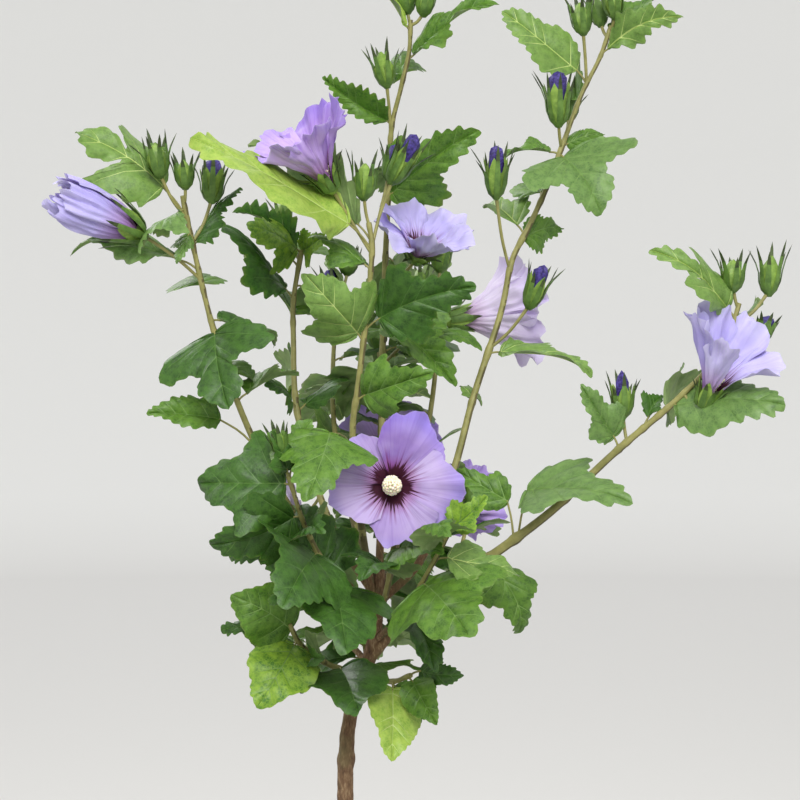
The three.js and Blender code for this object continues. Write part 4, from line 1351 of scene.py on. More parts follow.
def tidy(points: Array, faces: Faces, numbers: list[int]) -> Shape:
    """Merges points that coincide and drops the faces that this closes.

    Args:
        points: The points.
        faces: The faces.
        numbers: Their material numbers.

    Returns:
        What is left of all three.
    """
    _, first, inverse = np.unique(np.round(points, 4), axis=0, return_index=True, return_inverse=True)
    inverse = inverse.ravel()
    kept_faces: Faces = []
    kept_numbers: list[int] = []
    for face, number in zip(faces, numbers):
        corners = list(dict.fromkeys(int(inverse[k]) for k in face))
        if len(corners) > 2:
            kept_faces.append(tuple(corners))
            kept_numbers.append(number)
    return points[first], kept_faces, kept_numbers


# ---- buds and blossom
class Axis:
    """The line that a bud or bloom stands on, with the directions round it."""

    def __init__(self, seat: Sequence[float], heading: Sequence[float]) -> None:
        """Starts at the seat, and finds its right and its upper side, seen from its end."""
        self.seat = np.array(seat, float)
        self.ahead = unit(np.array(heading, float))
        above = UP if abs(self.ahead[2]) < 0.97 else np.array((0.0, 1.0, 0.0))
        self.above = unit(above - above.dot(self.ahead) * self.ahead)
        self.right = np.cross(self.above, self.ahead)

    def out(self, turn: float) -> Array:
        """The outward direction at a turn."""
        return turned(turn, self.right, self.above)

    def across(self, turn: float) -> Array:
        """The sideways direction at a turn."""
        return np.cross(self.ahead, self.out(turn))


@dataclass
class CalyxMaker:
    """Makes the green cup of a bud or bloom: five sepals inside a ring of narrow bracts."""

    bracts: int = 8
    bract_width: float = 1.8
    thickness: float = 0.4
    sides: int = 20

    def blade(self, line: Array, across: Array) -> Shape:
        """A bract along a line: broad at its foot, and dark and withered at its tip."""
        widths = [self.bract_width * w for w in (0.9, 1.15, 1.1, 0.96, 0.76, 0.48)]
        return strip(line, across, widths, self.thickness, tip_rows=1)

    def ring(self, axis: Axis, radius: float, length: float, draw: Draw) -> Iterable[Shape]:
        """A whole ring of bracts, which hug the cup and then lean out.

        Args:
            axis: The cup's axis.
            radius: The cup's radius.
            length: The bud's length.
            draw: A stream of random numbers.

        Returns:
            One bract after another.
        """
        offset = draw() * 2 * math.pi
        shares = (0.0, 0.12, 0.3, 0.5, 0.7, 0.87, 1.0)
        for k in range(self.bracts):
            turn = offset + (k + 0.35 * draw()) * 2 * math.pi / self.bracts
            reach, flare = length * mix(0.7, 1.08, draw()), mix(1.6, 3.3, draw())
            far = (0.2, 0.9, 1.3, 1.42, mix(1.4, flare, 0.3), mix(1.4, flare, 0.68), flare)
            yield self.blade(np.array([
                axis.seat + axis.ahead * reach * (s - 0.06) + axis.out(turn) * radius * r
                for s, r in zip(shares, far)]), axis.across(turn))

    def cup(self, axis: Axis, rings: Sequence[Pair], ridge: float, offset: float) -> Shape:
        """A closed five-ridged body.

        Args:
            axis: Its axis.
            rings: Radius and height, from the foot to the tip.
            ridge: How far the ridges stand out, as a share of the radius.
            offset: Turns the ridges.

        Returns:
            Points, faces and material numbers.
        """
        points = [axis.seat + axis.ahead * rings[0][1]]
        for radius, height in rings[1:-1]:
            for turn in full_turn(self.sides):
                rib = 1 + ridge * (1 - 2 * abs(math.sin(2.5 * turn + offset)))
                points.append(axis.seat + axis.ahead * height + axis.out(turn) * radius * rib)
        points.append(axis.seat + axis.ahead * rings[-1][1])
        return plain(points, closed_rings(len(rings) - 2, self.sides))

    def sepal(self, axis: Axis, turn: float, radius: float, span: Pair, lean: float) -> Shape:
        """A broad pointed sepal that covers a fifth of the cup.

        Args:
            axis: The cup's axis.
            turn: The side that the sepal stands on.
            radius: The cup's radius.
            span: The heights of its foot and of its tip.
            lean: How far its tip stands from the axis, in radii.

        Returns:
            Points, faces and material numbers.
        """
        shares = (0.0, 0.25, 0.5, 0.72, 0.88, 1.0)
        far = (0.55, 1.02, 1.1, mix(1.1, lean, 0.4), mix(1.1, lean, 0.75), lean)
        out = axis.out(turn)
        line = np.array([
            axis.seat + axis.ahead * mix(*span, s) + out * radius * r for s, r in zip(shares, far)])
        widths = [radius * w for w in (0.42, 0.7, 0.74, 0.58, 0.3)]
        return strip(line, axis.across(turn), widths, self.thickness * 1.5)


@dataclass
class BudMaker:
    """Makes buds: a ridged green body, its sepals and bracts, and what petal shows."""

    calyx: CalyxMaker = field(default_factory=CalyxMaker)

    def add(self, piece: Piece, bud: Bud, draw: Draw) -> None:
        """Adds one bud.

        Args:
            piece: Where it goes, with the materials calyx, bract, its tip and rolled petal.
            bud: The bud.
            draw: A stream of random numbers.
        """
        heading = np.array(bud.tip, float) - bud.seat
        length = float(np.linalg.norm(heading))
        axis, radius, body = Axis(bud.seat, heading), bud.radius, length * 0.6
        rings = [(0, -1.0), (radius * 0.5, 0.0), (radius * 0.92, body * 0.2), (radius * 1.04, body * 0.42),
                 (radius * 0.86, body * 0.66), (radius * 0.5, body * 0.86), (0, body)]
        offset = draw() * math.pi
        piece.add(self.calyx.cup(axis, rings, 0.09, offset))
        opened = bud.opening is not CLOSED
        for k in range(5):
            turn = offset + k * 2 * math.pi / 5
            span = (body * 0.05, body * 1.15)
            piece.add(self.calyx.sepal(axis, turn, radius, span, 1.55 if opened else 0.12))
        for bract in self.calyx.ring(axis, radius, length, draw):
            piece.add(bract, 1)
        if opened:
            piece.add(self._petals(bud, axis, length, draw), 3)

    def _petals(self, bud: Bud, axis: Axis, length: float, draw: Draw) -> Shape:
        """The rolled or crumpled petals that stand out of an opened bud.

        Args:
            bud: The bud.
            axis: Its axis.
            length: Its whole length.
            draw: A stream of random numbers.

        Returns:
            Points, faces and material numbers.
        """
        pointed, body = bud.opening is POINTED, length * 0.6
        top = length * (0.97 if pointed else 0.88)
        wide = bud.radius * (0.8 if pointed else 0.92)
        shoulder = mix(body, top, 0.3 if pointed else 0.5)
        rings = [(0, body * 0.4), (wide * 0.75, body * 0.5), (wide * 0.95, body * 0.85), (wide, shoulder),
                 (wide * (0.55 if pointed else 0.72), mix(shoulder, top, 0.6)), (0, top)]
        points, faces, numbers = self.calyx.cup(axis, rings, 0.16 if pointed else 0.1, draw() * 3)
        if not pointed:
            noise.seed_set(CRUMPLE_SEED)
            for spot in points:
                spot += np.array(noise.noise_vector(Vector(spot / 2.2))) * 1.5
        return points, faces, numbers


@dataclass(frozen=True)
class Stance:
    """How a kind of bloom holds its petals: their leans are in degrees."""

    first: float  # the lean at the foot
    last: float  # the lean at the rim
    column: float  # the stamens' reach, as a share of the size
    ruffle: float = 0.05  # the rim's ups and downs, as a share of the size
    crease: float = 0.6  # the lengthwise folds, in millimetres
    crumple: float = 1.6  # the dents, in millimetres
    spans: Pair = (0.76, 0.8)  # half a petal's angle at its foot and rim
    bract: float = 1.0  # the bracts' share of the sepals' length


STANCES = {
    OPEN: Stance(34, 98, 0.62, 0.045, 0.3, 1.6, bract=0.7),
    TILTED: Stance(30, 84, 0.3, 0.1, 0.9, 6.0, bract=0.9),
    SIDE: Stance(16, 36, 0.5, 0.07, 0.9, 5.0, bract=1.15),
    FUNNEL: Stance(12, 52, 0.4, 0.07, 0.9, 4.6, bract=1.3),
    CUP: Stance(12, 30, 0.5, 0.07, 0.4, 5.0, (0.7, 0.82), 1.0),
    FURLED: Stance(48, -22, 0.3, 0.04, 1.2, 4.0, (0.6, 0.9), 1.6),
}


@dataclass(frozen=True)
class Profile:
    """The curve of a petal's middle from foot to rim, by its reach."""

    knots: Array
    radii: Array
    heights: Array
    leans: Array

    def at(self, reach: float) -> tuple[float, float, float]:
        """The radius, height and lean at a reach."""
        rows = (self.radii, self.heights, self.leans)
        return tuple(float(np.interp(reach, self.knots, row)) for row in rows)


@dataclass
class BloomMaker:
    """Makes blooms: five overlapping crinkled petals, the column of stamens and the calyx."""

    calyx: CalyxMaker = field(default_factory=CalyxMaker)
    rows: int = 26
    columns: int = 26
    foot: float = 1.5
    seat: float = 4.0
    curl: float = 0.7
    thickness: float = 0.28
    calyx_radius: float = 5.4
    sepal_length: float = 18.0
    anthers: int = 150

    def profile(self, bloom: Bloom, extra: float) -> Profile:
        """The curve of a petal that leans out by some degrees more than its kind does."""
        stance = STANCES[bloom.kind]
        steps, end = 75, 1.25
        shares = (np.arange(steps + 1)) / steps * end
        leans = np.radians(stance.first + (stance.last - stance.first) * shares**self.curl + extra * shares)
        run = bloom.size * end / steps
        radii, heights = (
            start + np.concatenate([[0], np.cumsum(turn(leans[1:]))]) * run
            for start, turn in ((self.foot, np.sin), (self.seat, np.cos))
        )
        return Profile(shares, radii, heights, leans)

    def petals(self, piece: Piece, bloom: Bloom, draw: Draw) -> None:
        """Adds the five petals.

        Args:
            piece: Where they go, with the materials of their inner and outer side.
            bloom: The bloom.
            draw: A stream of random numbers.
        """
        axis, stance = Axis(bloom.seat, bloom.direction), STANCES[bloom.kind]
        for number, fold in enumerate(bloom.folds):
            turn = math.radians(fold.turn)
            out, over = axis.out(turn), turned(turn, axis.above, -axis.right)
            phases = [draw() * 2 * math.pi for _ in range(5)]
            profile = self.profile(bloom, fold.lean)
            top, drop, place = [], [], []
            for i, j in np.ndindex(self.rows + 1, self.columns + 1):
                s, t = i / self.rows, 1 - 2 * j / self.columns
                nicks = 0.028 * math.sin(phases[0] + 9 * t) + 0.016 * math.sin(phases[4] + 23 * t)
                reach = s * float(np.interp(t, (-1, -0.5, 0, 0.5, 1), fold.rim)) * (1 + nicks * s**3)
                radius, height, lean = profile.at(reach)
                away = turned(t * fold.width * mix(*stance.spans, min(1.0, reach * 1.3)), out, over)
                normal = axis.ahead * math.sin(lean) - away * math.cos(lean)
                lift = t * 1.5 * (0.35 + reach)
                lift += stance.ruffle * bloom.size * reach**2.2 * math.sin(phases[1] + 4.2 * t)
                lift += stance.ruffle * 0.4 * bloom.size * reach**5 * math.sin(phases[2] + 13 * t)
                lift += stance.crease * reach * math.sin(phases[3] + 17 * t + 2.0 * reach)
                dent = noise.noise(Vector((t * 2.1 + phases[0], reach * 3.4, phases[1])))
                fine = noise.noise(Vector((t * 5.5 + phases[2], reach * 6.5, phases[3])))
                lift += stance.crumple * reach * (dent + 0.35 * fine)
                top.append(axis.seat + axis.ahead * height + away * radius + normal * lift)
                drop.append(-normal * self.thickness)
                place.append((t * 0.49 + 0.5 + number, reach, mix(*fold.tone, (t + 1) / 2)))
            points, faces = sheet(np.array(top), np.array(drop), self.columns + 1)
            inner = off_the_edge(self.rows + 1, self.columns + 1).ravel()
            sides = [int(k >= len(faces) // 2) for k in range(len(faces))]
            piece.add((points, faces, sides), 0, np.vstack([place, np.array(place)[inner]]))

    def cup(self, piece: Piece, bloom: Bloom, draw: Draw) -> None:
        """Adds the calyx, which lies under the petals.

        Args:
            piece: Where it goes, with the materials calyx, bract and its tip.
            bloom: The bloom.
            draw: A stream of random numbers.
        """
        axis, profile = Axis(bloom.seat, bloom.direction), self.profile(bloom, 5.0)
        radius, length = self.calyx_radius, self.sepal_length
        rings = [(0, -1.0), (radius * 0.45, 0.0), (radius * 0.82, 2.4), (radius * 0.92, 5.2),
                 (radius * 0.7, 6.4), (0, 6.0)]
        offset = draw() * math.pi
        piece.add(self.calyx.cup(axis, rings, 0.05, offset))

        def under(turn: float, reach: float, spots: Sequence[Pair]) -> Array:
            """A line outside the petals, from its spots' shares of the reach and gaps below them."""
            line, out = [], axis.out(turn)
            for share, gap in spots:
                wide, high, lean = profile.at(reach * share / bloom.size)
                normal = axis.ahead * math.sin(lean) - out * math.cos(lean)
                line.append(axis.seat + axis.ahead * high + out * wide - normal * gap)
            return np.array(line)

        for k in range(5):
            turn = offset + k * 2 * math.pi / 5
            line = under(turn, length, (
                (0.0, 4.0), (0.22, 3.6), (0.45, 3.0), (0.68, 2.5), (0.86, 2.2), (1.0, 2.2)))
            widths = [radius * w for w in (0.5, 0.72, 0.74, 0.56, 0.28)]
            piece.add(strip(line, axis.across(turn), widths, self.calyx.thickness * 1.5))
        bracts = self.calyx.bracts + 1
        for k in range(bracts):
            turn = offset + 0.4 + (k + 0.3 * draw()) * 2 * math.pi / bracts
            reach = length * STANCES[bloom.kind].bract * mix(0.8, 1.1, draw())
            flare = mix(0.5, 5.0, draw())
            line = under(turn, reach, (
                (-0.1, 4.6), (0.1, 5.2), (0.3, 4.9), (0.5, 4.4), (0.7, 4.2 + flare * 0.3),
                (0.87, 4.0 + flare * 0.7), (1.0, 4.0 + flare)))
            piece.add(self.calyx.blade(line, axis.across(turn)), 1)

    def stamens(self, piece: Piece, bloom: Bloom, grain: Shape, draw: Draw) -> None:
        """Adds the cream column with its anthers and its five-knobbed tip.

        Args:
            piece: Where it goes.
            bloom: The bloom.
            grain: A round grain of radius 1.
            draw: A stream of random numbers.
        """
        axis, profile = Axis(bloom.seat, bloom.direction), self.profile(bloom, 0.0)
        seat, ahead = axis.seat, axis.ahead
        reach = bloom.size * STANCES[bloom.kind].column
        points, faces, numbers = grain
        climbs = np.maximum.accumulate(profile.heights)

        def within(share: float, wide: float) -> float:
            """A width on the column, where the petals leave room, rounded off at its end."""
            room = float(np.interp(reach * share, climbs, profile.radii)) - 1.6
            return max(1.2, min(wide, room)) * math.sqrt(max(0.03, 1 - max(0.0, (share - 0.78) / 0.22) ** 2))

        def core(share: float) -> float:
            """The column's radius, which swells under the anthers."""
            return within(share, mix(1.3, 3.8, min(1.0, max(0.0, (share - 0.15) / 0.2))))

        def thread(turn: float, foot: Array, end: Array, widths: Pair, size: float) -> None:
            """Adds a thread with a grain at its end."""
            line = np.array([foot, (foot + end) / 2, end])
            piece.add(strip(line, axis.across(turn), widths, widths[1]))
            piece.add((points * size + end, faces, numbers))

        route = Route((seat + ahead * 3, seat + ahead * reach * 0.5, seat + ahead * reach))
        piece.add(tube(route, np.linspace(0, 1, 18), core, 12))
        for k in range(self.anthers):
            share = mix(0.32, 1.0, (k + 0.5) / self.anthers)
            turn = k * GOLDEN
            far = within(share, mix(5.4, 4.8, share) * mix(0.85, 1.05, draw()))
            end = seat + ahead * (reach * share + mix(0.4, 1.2, draw())) + axis.out(turn) * far
            thread(turn, seat + ahead * reach * share, end, (0.16, 0.14), mix(1.0, 1.3, draw()))
        for k in range(5):
            turn = k * 2 * math.pi / 5
            end = seat + ahead * (reach + 2.0) + axis.out(turn) * 1.5
            thread(turn, seat + ahead * (reach - 0.5), end, (0.3, 0.25), 1.05)


# ---- pot, compost and trunk
@dataclass
class Pot:
    """A round nursery pot with a rolled rim, gripping ribs and eight drain holes."""

    height: float = 172
    foot_radius: float = 71
    rim_radius: float = 94
    wall: float = 2
    floor: float = 3
    lip: float = 4
    lip_height: float = 13
    holes: int = 8
    hole_radius: float = 5
    hole_ring: float = 52
    ribs: int = 48

    def wall_at(self, z: float) -> float:
        """The outer wall's radius at a height, without its lip."""
        return self.foot_radius + (self.rim_radius - self.lip - self.foot_radius) * z / self.height

    def _profile(self) -> list[Pair]:
        """(radius, height) from the foot's edge, up outside and down inside to the floor."""
        band = self.height - self.lip_height
        step = self.height * 0.82
        return [
            (self.foot_radius - 2, 0.0), (self.foot_radius, 2.0), (self.wall_at(step) - 0.4, step),
            (self.wall_at(step) + 0.5, step + 1.6), (self.wall_at(band) + 0.4, band),
            (self.rim_radius - 0.8, band), (self.rim_radius, band + 0.8),
            (self.rim_radius, self.height - 2), (self.rim_radius - 2, self.height),
            (self.wall_at(self.height) - self.wall, self.height),
            (self.wall_at(self.height) - self.wall - 0.6, self.height - 2),
            (self.wall_at(self.floor) - self.wall, self.floor),
        ]

    def build(self) -> None:
        """Models the pot: a disc extruded up and in along its profile, bevelled and drilled."""
        profile = self._profile()
        bpy.ops.object.select_all(action="DESELECT")
        radius, height = profile[0]
        bpy.ops.mesh.primitive_circle_add(
            vertices=144, radius=radius * MM, fill_type="NGON", location=(0, 0, height * MM))
        pot = bpy.context.object
        pot.name = "nursery_pot"
        bpy.ops.object.mode_set(mode="EDIT")
        bpy.ops.mesh.select_all(action="SELECT")
        for wide, high in profile[1:]:
            bpy.ops.mesh.extrude_region_move(TRANSFORM_OT_translate={"value": (0, 0, (high - height) * MM)})
            share = wide / radius
            bpy.ops.transform.resize(value=(share, share, 1), center_override=(0, 0, high * MM))
            radius, height = wide, high
        bpy.ops.mesh.select_all(action="SELECT")
        bpy.ops.mesh.normals_make_consistent(inside=False)
        bpy.ops.object.mode_set(mode="OBJECT")
        self._drill(pot)
        bevel = pot.modifiers.new("edges", "BEVEL")
        bevel.width, bevel.segments, bevel.limit_method = 0.5 * MM, 2, "ANGLE"
        bevel.angle_limit = math.radians(40)
        self._apply(pot, bevel)
        self._add_ribs(pot)
        bpy.ops.object.shade_smooth_by_angle(angle=math.radians(32))
        bpy.ops.object.transform_apply(location=True, rotation=True, scale=True)
        pot.data.materials.append(MouldedPlastic().make())
        settle(pot, "pot_plastic", ("pot",))

    @staticmethod
    def _apply(piece: Solid, modifier: bpy.types.Modifier) -> None:
        """Applies a modifier."""
        select_only(piece)
        bpy.ops.object.modifier_apply(modifier=modifier.name)

    def _drill(self, pot: Solid) -> None:
        """Cuts the drain holes through the floor."""
        for turn in full_turn(self.holes):
            bpy.ops.object.select_all(action="DESELECT")
            bpy.ops.mesh.primitive_cylinder_add(
                vertices=24, radius=self.hole_radius * MM, depth=20 * MM,
                location=(self.hole_ring * math.cos(turn) * MM, self.hole_ring * math.sin(turn) * MM, 0))
            drill = bpy.context.object
            cut = pot.modifiers.new("drain", "BOOLEAN")
            cut.operation, cut.solver, cut.object = "DIFFERENCE", "EXACT", drill
            self._apply(pot, cut)
            bpy.data.objects.remove(drill)

    def _add_ribs(self, pot: Solid) -> None:
        """Joins a ring of shallow upright ribs under the rim."""
        low, high = self.height * 0.835, self.height - self.lip_height + 0.5
        ribs = Piece("ribs", "", [])
        faces = [(0, 1, 2, 3), (7, 6, 5, 4), *((i + 4, (i + 1) % 4 + 4, (i + 1) % 4, i) for i in range(4))]
        for turn in full_turn(self.ribs):
            out = np.array((math.cos(turn), math.sin(turn), 0))
            side = np.array((-math.sin(turn), math.cos(turn), 0))
            ribs.add(plain([
                out * (self.wall_at(z) + depth) + side * width + UP * z
                for z in (low, high)
                for width, depth in ((1.4, -0.6), (0.8, 1.3), (-0.8, 1.3), (-1.4, -0.6))
            ], faces))
        select_only(pot, add_mesh("ribs", np.vstack(ribs.points), ribs.faces))
        bpy.ops.object.join()


@dataclass
class Compost:
    """The compost in the pot: an uneven surface strewn with crumbs and bark chips."""

    pot: Pot
    top: float = 157
    dome: float = 3
    gap: float = 0.7
    crumbs: int = 900
    rings: int = 44  # those of its surface
    bare: float = 15  # the radius round the stem without crumbs

    def build(self, grain: Shape) -> None:
        """Makes the body and its crumbs as one piece.

        Args:
            grain: A round grain of radius 1.
        """
        skins = [Earth().make(), Bark("bark chip").make()]
        piece = Piece("potting_compost", "compost", skins, ("compost",))
        edge = self.pot.wall_at(self.top) - self.pot.wall - self.gap
        low = self.pot.floor + 0.4
        rings = [(0.0, low), (self.pot.wall_at(low) - self.pot.wall - self.gap, low), (edge, self.top - 4)]
        shares = [1 - k / self.rings for k in range(self.rings)]
        rings += [(edge * share, self.height_at(share)) for share in shares]
        rings.append((0.0, self.height_at(0)))

        def relief(x: float, y: float) -> float:
            """The crumbly unevenness of the surface, which is nothing at the wall."""
            near = min(1.0, max(0.0, (edge - math.hypot(x, y)) / 6))
            spot = Vector((x / 9, y / 9, 0.0))
            return near * (1.1 * noise.fractal(spot, 0.8, 2.1, 4) - 0.3)

        points, faces, numbers = revolve(rings, 110)
        for i in np.nonzero(points[:, 2] > self.top - 2)[0]:
            points[i][2] += relief(points[i][0], points[i][1])
        piece.add((points, faces, numbers))
        draw = random_stream(CRUMB_SEED)
        base, grain_faces, grain_numbers = grain
        for k in range(self.crumbs):
            radius = (edge - 3) * math.sqrt((k + 0.5) / self.crumbs)
            if radius < self.bare:
                continue
            x, y = radius * math.cos(k * GOLDEN), radius * math.sin(k * GOLDEN)
            size = mix(0.7, 2.1, draw() ** 2)
            stretch = np.array((mix(0.7, 1.8, draw()), mix(0.7, 1.5, draw()), mix(0.5, 0.9, draw())))
            spin = np.array(Matrix.Rotation(draw() * 2 * math.pi, 3, "Z"))
            place = np.array((x, y, self.height_at(radius / edge) + relief(x, y) + size * 0.15))
            crumb = (base * stretch * size) @ spin.T + place
            piece.add((crumb, grain_faces, grain_numbers), int(draw() < 0.12))
        piece.build()

    def height_at(self, share: float) -> float:
        """The plain surface's height at a share of the radius."""
        return self.top + self.dome * (1 - share**2) - 0.35


@dataclass
class Trunk:
    """The main stem, from its flare on the compost to the dead snag above the fork."""

    route: tuple[Point, ...] = (
        (-1, 0, 0), (-3, 1, 90), (-3, 1, 178), (0, 0, 216), (8, -1, 240), (14, -1, 260), (17, 0, 284),
        (18, 1, 309),
    )
    base: float = 160.35
    foot_radius: float = 6.4
    top_radius: float = 4.4
    flare: float = 6.5
    flare_height: float = 9
    knots: tuple[float, ...] = (0.38, 0.6, 0.78, 0.86)
    rings: int = 230
    sides: int = 40

    def line(self) -> Route:
        """The trunk's axis."""
        return Route([(x, y, z + self.base) for x, y, z in self.route])

    def build(self) -> None:
        """Makes the trunk with cracked bark and its broken top."""
        line = self.line()
        piece = Piece("trunk_bark", "bark", [Bark().make(), CUT_WOOD.make()], ("trunk",), smooth=80)

        def radius_at(share: float) -> float:
            """The radius at a share of the height."""
            root = self.flare * math.exp(-share * line.length / self.flare_height)
            knots = sum(0.9 * math.exp(-(((share - k) * line.length) / 4) ** 2) for k in self.knots)
            return mix(self.foot_radius, self.top_radius, share) + root + knots - 0.4

        def relief(spot: Array, turn: float, share: float) -> float:
            """Upright cracks and corky lumps."""
            crack = noise.fractal(Vector((spot[0] / 2.2, spot[1] / 2.2, spot[2] / 11)), 0.9, 2.2, 4)
            lump = noise.noise(Vector(spot / 7.0))
            ridges = 0.5 * math.cos(5 * turn + 3 * share) * math.exp(-share * line.length / 14)
            return 0.55 * crack + 0.45 * lump + ridges

        points, faces, numbers = tube(line, np.linspace(0, 1, self.rings), radius_at, self.sides, relief)
        for spot in points[-self.sides:]:
            spot += UP * 2.0 * noise.noise(Vector(spot / 1.5))
        numbers[-1] = 1  # the dead wood where it broke
        piece.add((points, faces, numbers))
        piece.build()


# ---- the plant above the fork
@dataclass
class Growth:
    """All that grows on the shoots: boughs, twigs, leaves, buds and blossom."""

    shoots: tuple[Shoot, ...]
    grain: Shape
    leaf_maker: LeafMaker = field(default_factory=LeafMaker)
    bud_maker: BudMaker = field(default_factory=BudMaker)
    bloom_maker: BloomMaker = field(default_factory=BloomMaker)
    swings: tuple[float, ...] = (0, 7, -7, 14, -14, 22, -22)

    def __post_init__(self) -> None:
        """Lays out the routes and marks the limbs' space."""
        self.lines = {shoot.name: Route(shoot.route) for shoot in self.shoots}
        self.room = Room()
        self.leaves: dict[str, list[tuple[Leaf, Array, Array]]] = {s.name: [] for s in self.shoots}
        for shoot in self.shoots:
            limb = tube(self.lines[shoot.name], np.linspace(0, 1, 22),
                        lambda at, s=shoot: mix(s.foot, s.tip, at) + 0.3, 5)
            self.room.take(shoot.name, limb)
            for bud in shoot.buds:
                self._take_cone(shoot.name, bud.seat, bud.tip, bud.radius * 1.4, 1.0)
            for bloom in shoot.blooms:
                stance = STANCES[bloom.kind]
                lean = math.radians((stance.first + stance.last) / 2)
                ahead = unit(np.array(bloom.direction, float))
                tip = np.array(bloom.seat) + ahead * (bloom.size * math.cos(lean) + 4)
                self._take_cone(shoot.name, bloom.seat, tip, bloom.size * math.sin(lean) + 3, 0.15)

    def _take_cone(self, owner: str, foot: Sequence[float], tip: Sequence[float], wide: float,
                   narrow: float) -> None:
        """Marks a cone's space as taken, such as that of a bloom.

        Args:
            owner: The shoot that it belongs to.
            foot: Where it starts.
            tip: Where it ends.
            wide: Its radius at the tip.
            narrow: The share of that radius at its foot.
        """
        route = Route((foot, (np.array(foot) + np.array(tip)) / 2, tip))
        cone = tube(route, np.linspace(0, 1, 4), lambda at: wide * mix(narrow, 1, at), 8)
        self.room.take(owner, cone)

    def _try_leaf(self, shoot: Shoot, leaf: Leaf, crossing: bool) -> bool:
        """Places a leaf at the first swing that keeps it clear.

        Args:
            shoot: The shoot that bears it.
            leaf: The leaf.
            crossing: True if it may pass through its own shoot's leaves.

        Returns:
            True if there was room.
        """
        root = self.lines[shoot.name].at(leaf.at)
        for swing in self.swings:
            tip = np.array(leaf.tip, float) + (0, swing, 0)
            proxy = self.leaf_maker.proxy(root, leaf, tip)
            if self.room.is_clear(proxy, shoot.name if crossing else None):
                self.room.take(shoot.name, proxy)
                self.leaves[shoot.name].append((leaf, root, tip))
                return True
        return False

    def place_leaves(self) -> None:
        """Places every leaf that is listed, and then the spare ones by the seeded rule."""
        missed = 0
        for shoot in self.shoots:
            for leaf in shoot.leaves:
                missed += not (self._try_leaf(shoot, leaf, False) or self._try_leaf(shoot, leaf, True))
        log.info("leaves without room: %d", missed)
        for index, shoot in enumerate(self.shoots):
            if shoot.spare:
                self._place_spares(shoot, shoot.spare, random_stream(SPARE_SEED + index * SPARE_STEP))

    def _place_spares(self, shoot: Shoot, spare: Spare, draw: Draw) -> None:
        """Places a shoot's spare leaves at the golden angle inside its sector.

        Args:
            shoot: The shoot.
            spare: The rule of its spare leaves.
            draw: A stream of random numbers.
        """
        line = self.lines[shoot.name]
        for k in range(spare.count):
            at = mix(spare.start, spare.end, (k + 0.5) / spare.count)
            swirl = ((k * GOLDEN) % (2 * math.pi)) / math.pi - 1
            turn = math.radians(spare.middle + swirl * spare.reach)
            length = spare.length * mix(0.8, 1.2, draw())
            out = unit(np.array((math.cos(turn), math.sin(turn), mix(-0.55, 0.35, draw()))))
            tip = line.at(at) + out * (length + 8)
            wide = mix(0.65, 0.95, draw())
            tint = (MID, DARK, DARK, MID, PALE)[k % 5]
            form = (LOBED, NARROW, LOBED, ROUND)[k % 4]
            leaf = Leaf(at, tuple(tip), 8, wide, -math.sin(turn) * 0.55, tint, form=form)
            if inside_crown(tip):
                self._try_leaf(shoot, leaf, False)

    def build_limbs(self, stem: bpy.types.Material, shaded: bpy.types.Material) -> None:
        """Makes the boughs, and the twigs with every stalk, as two pieces.

        Args:
            stem: The young green skin.
            shaded: The riper skin of the feet, which is also painted shade on the lower right side of each
                limb.
        """
        bark = Bark("young bark", dark="#5d4c33", light="#a48e68", moss="#7d7a4a").make()
        skins = [stem, shaded, bark]
        replaced = tuple(f"bough_{shoot.name}" for shoot in self.shoots if shoot.bare)
        boughs = Piece("boughs", "green_stem", skins, replaced, smooth=70)
        twigs = Piece("twigs", "green_stem", skins, smooth=70)
        for shoot in self.shoots:
            self._add_limb(shoot, boughs, twigs)
            line = self.lines[shoot.name]
            for item in (*shoot.buds, *shoot.blooms):
                twigs.add(self._pedicel(line.at(item.at), item))
            for leaf, root, tip in self.leaves[shoot.name]:
                twigs.add(self.leaf_maker.petiole(root, leaf, tip))
        boughs.build()
        twigs.build()

    def _add_limb(self, shoot: Shoot, boughs: Piece, twigs: Piece) -> None:
        """Adds a shoot's stem: its leafless part and the rest.

        Args:
            shoot: The shoot.
            boughs: Where the leafless part goes.
            twigs: Where the rest goes.
        """
        line = self.lines[shoot.name]
        nodes = sorted({item.at for item in (*shoot.leaves, *shoot.buds, *shoot.blooms)})

        def radius_at(at: float) -> float:
            """The stem's radius, with a swelling at each node."""
            swell = sum(math.exp(-(((at - n) * line.length) / 2.4) ** 2) for n in nodes)
            return mix(shoot.foot, shoot.tip, at) * (1 + 0.22 * min(swell, 1.2))

        def relief(spot: Array, turn: float, share: float) -> float:
            """The skin's faint lines and pores."""
            return 0.09 * noise.noise(Vector((spot[0] / 1.2, spot[1] / 1.2, spot[2] / 5)))

        join = shoot.bare * line.length
        if shoot.bare:
            rings = np.linspace(0, shoot.bare, max(4, int(join / 2)))
            boughs.add(self._coloured(tube(line, rings, radius_at, 12, relief), line))
        rings = np.linspace(shoot.bare, 1, max(6, int((line.length - join) / 2)))
        twigs.add(self._coloured(tube(line, rings, radius_at, 10, relief), line))

    @staticmethod
    def _coloured(shape: Shape, line: Route) -> Shape:
        """Gives each face of a limb its skin: bark at the foot, riper above it, and painted shade on its
        lower right side.

        Args:
            shape: The limb.
            line: Its axis.

        Returns:
            The same shape with other material numbers.
        """
        points, faces, _ = shape
        numbers = []
        for face in faces:
            middle = points[list(face)].mean(0)
            share = line.travel[np.argmin(np.linalg.norm(line.samples - middle, axis=1))] / line.length
            away = middle - line.at(share)
            # the lower right side takes the darker skin as painted shade
            shade_side = away.dot((0.8, 0.2, -0.5)) / max(np.linalg.norm(away), 1e-6)
            ripe = 0.15 * noise.noise(Vector(middle / 9))
            if share + ripe < 0.16:
                numbers.append(2)
            else:
                numbers.append(1 if shade_side > 0.35 + ripe * 2 or share + ripe < 0.24 else 0)
        return points, faces, numbers

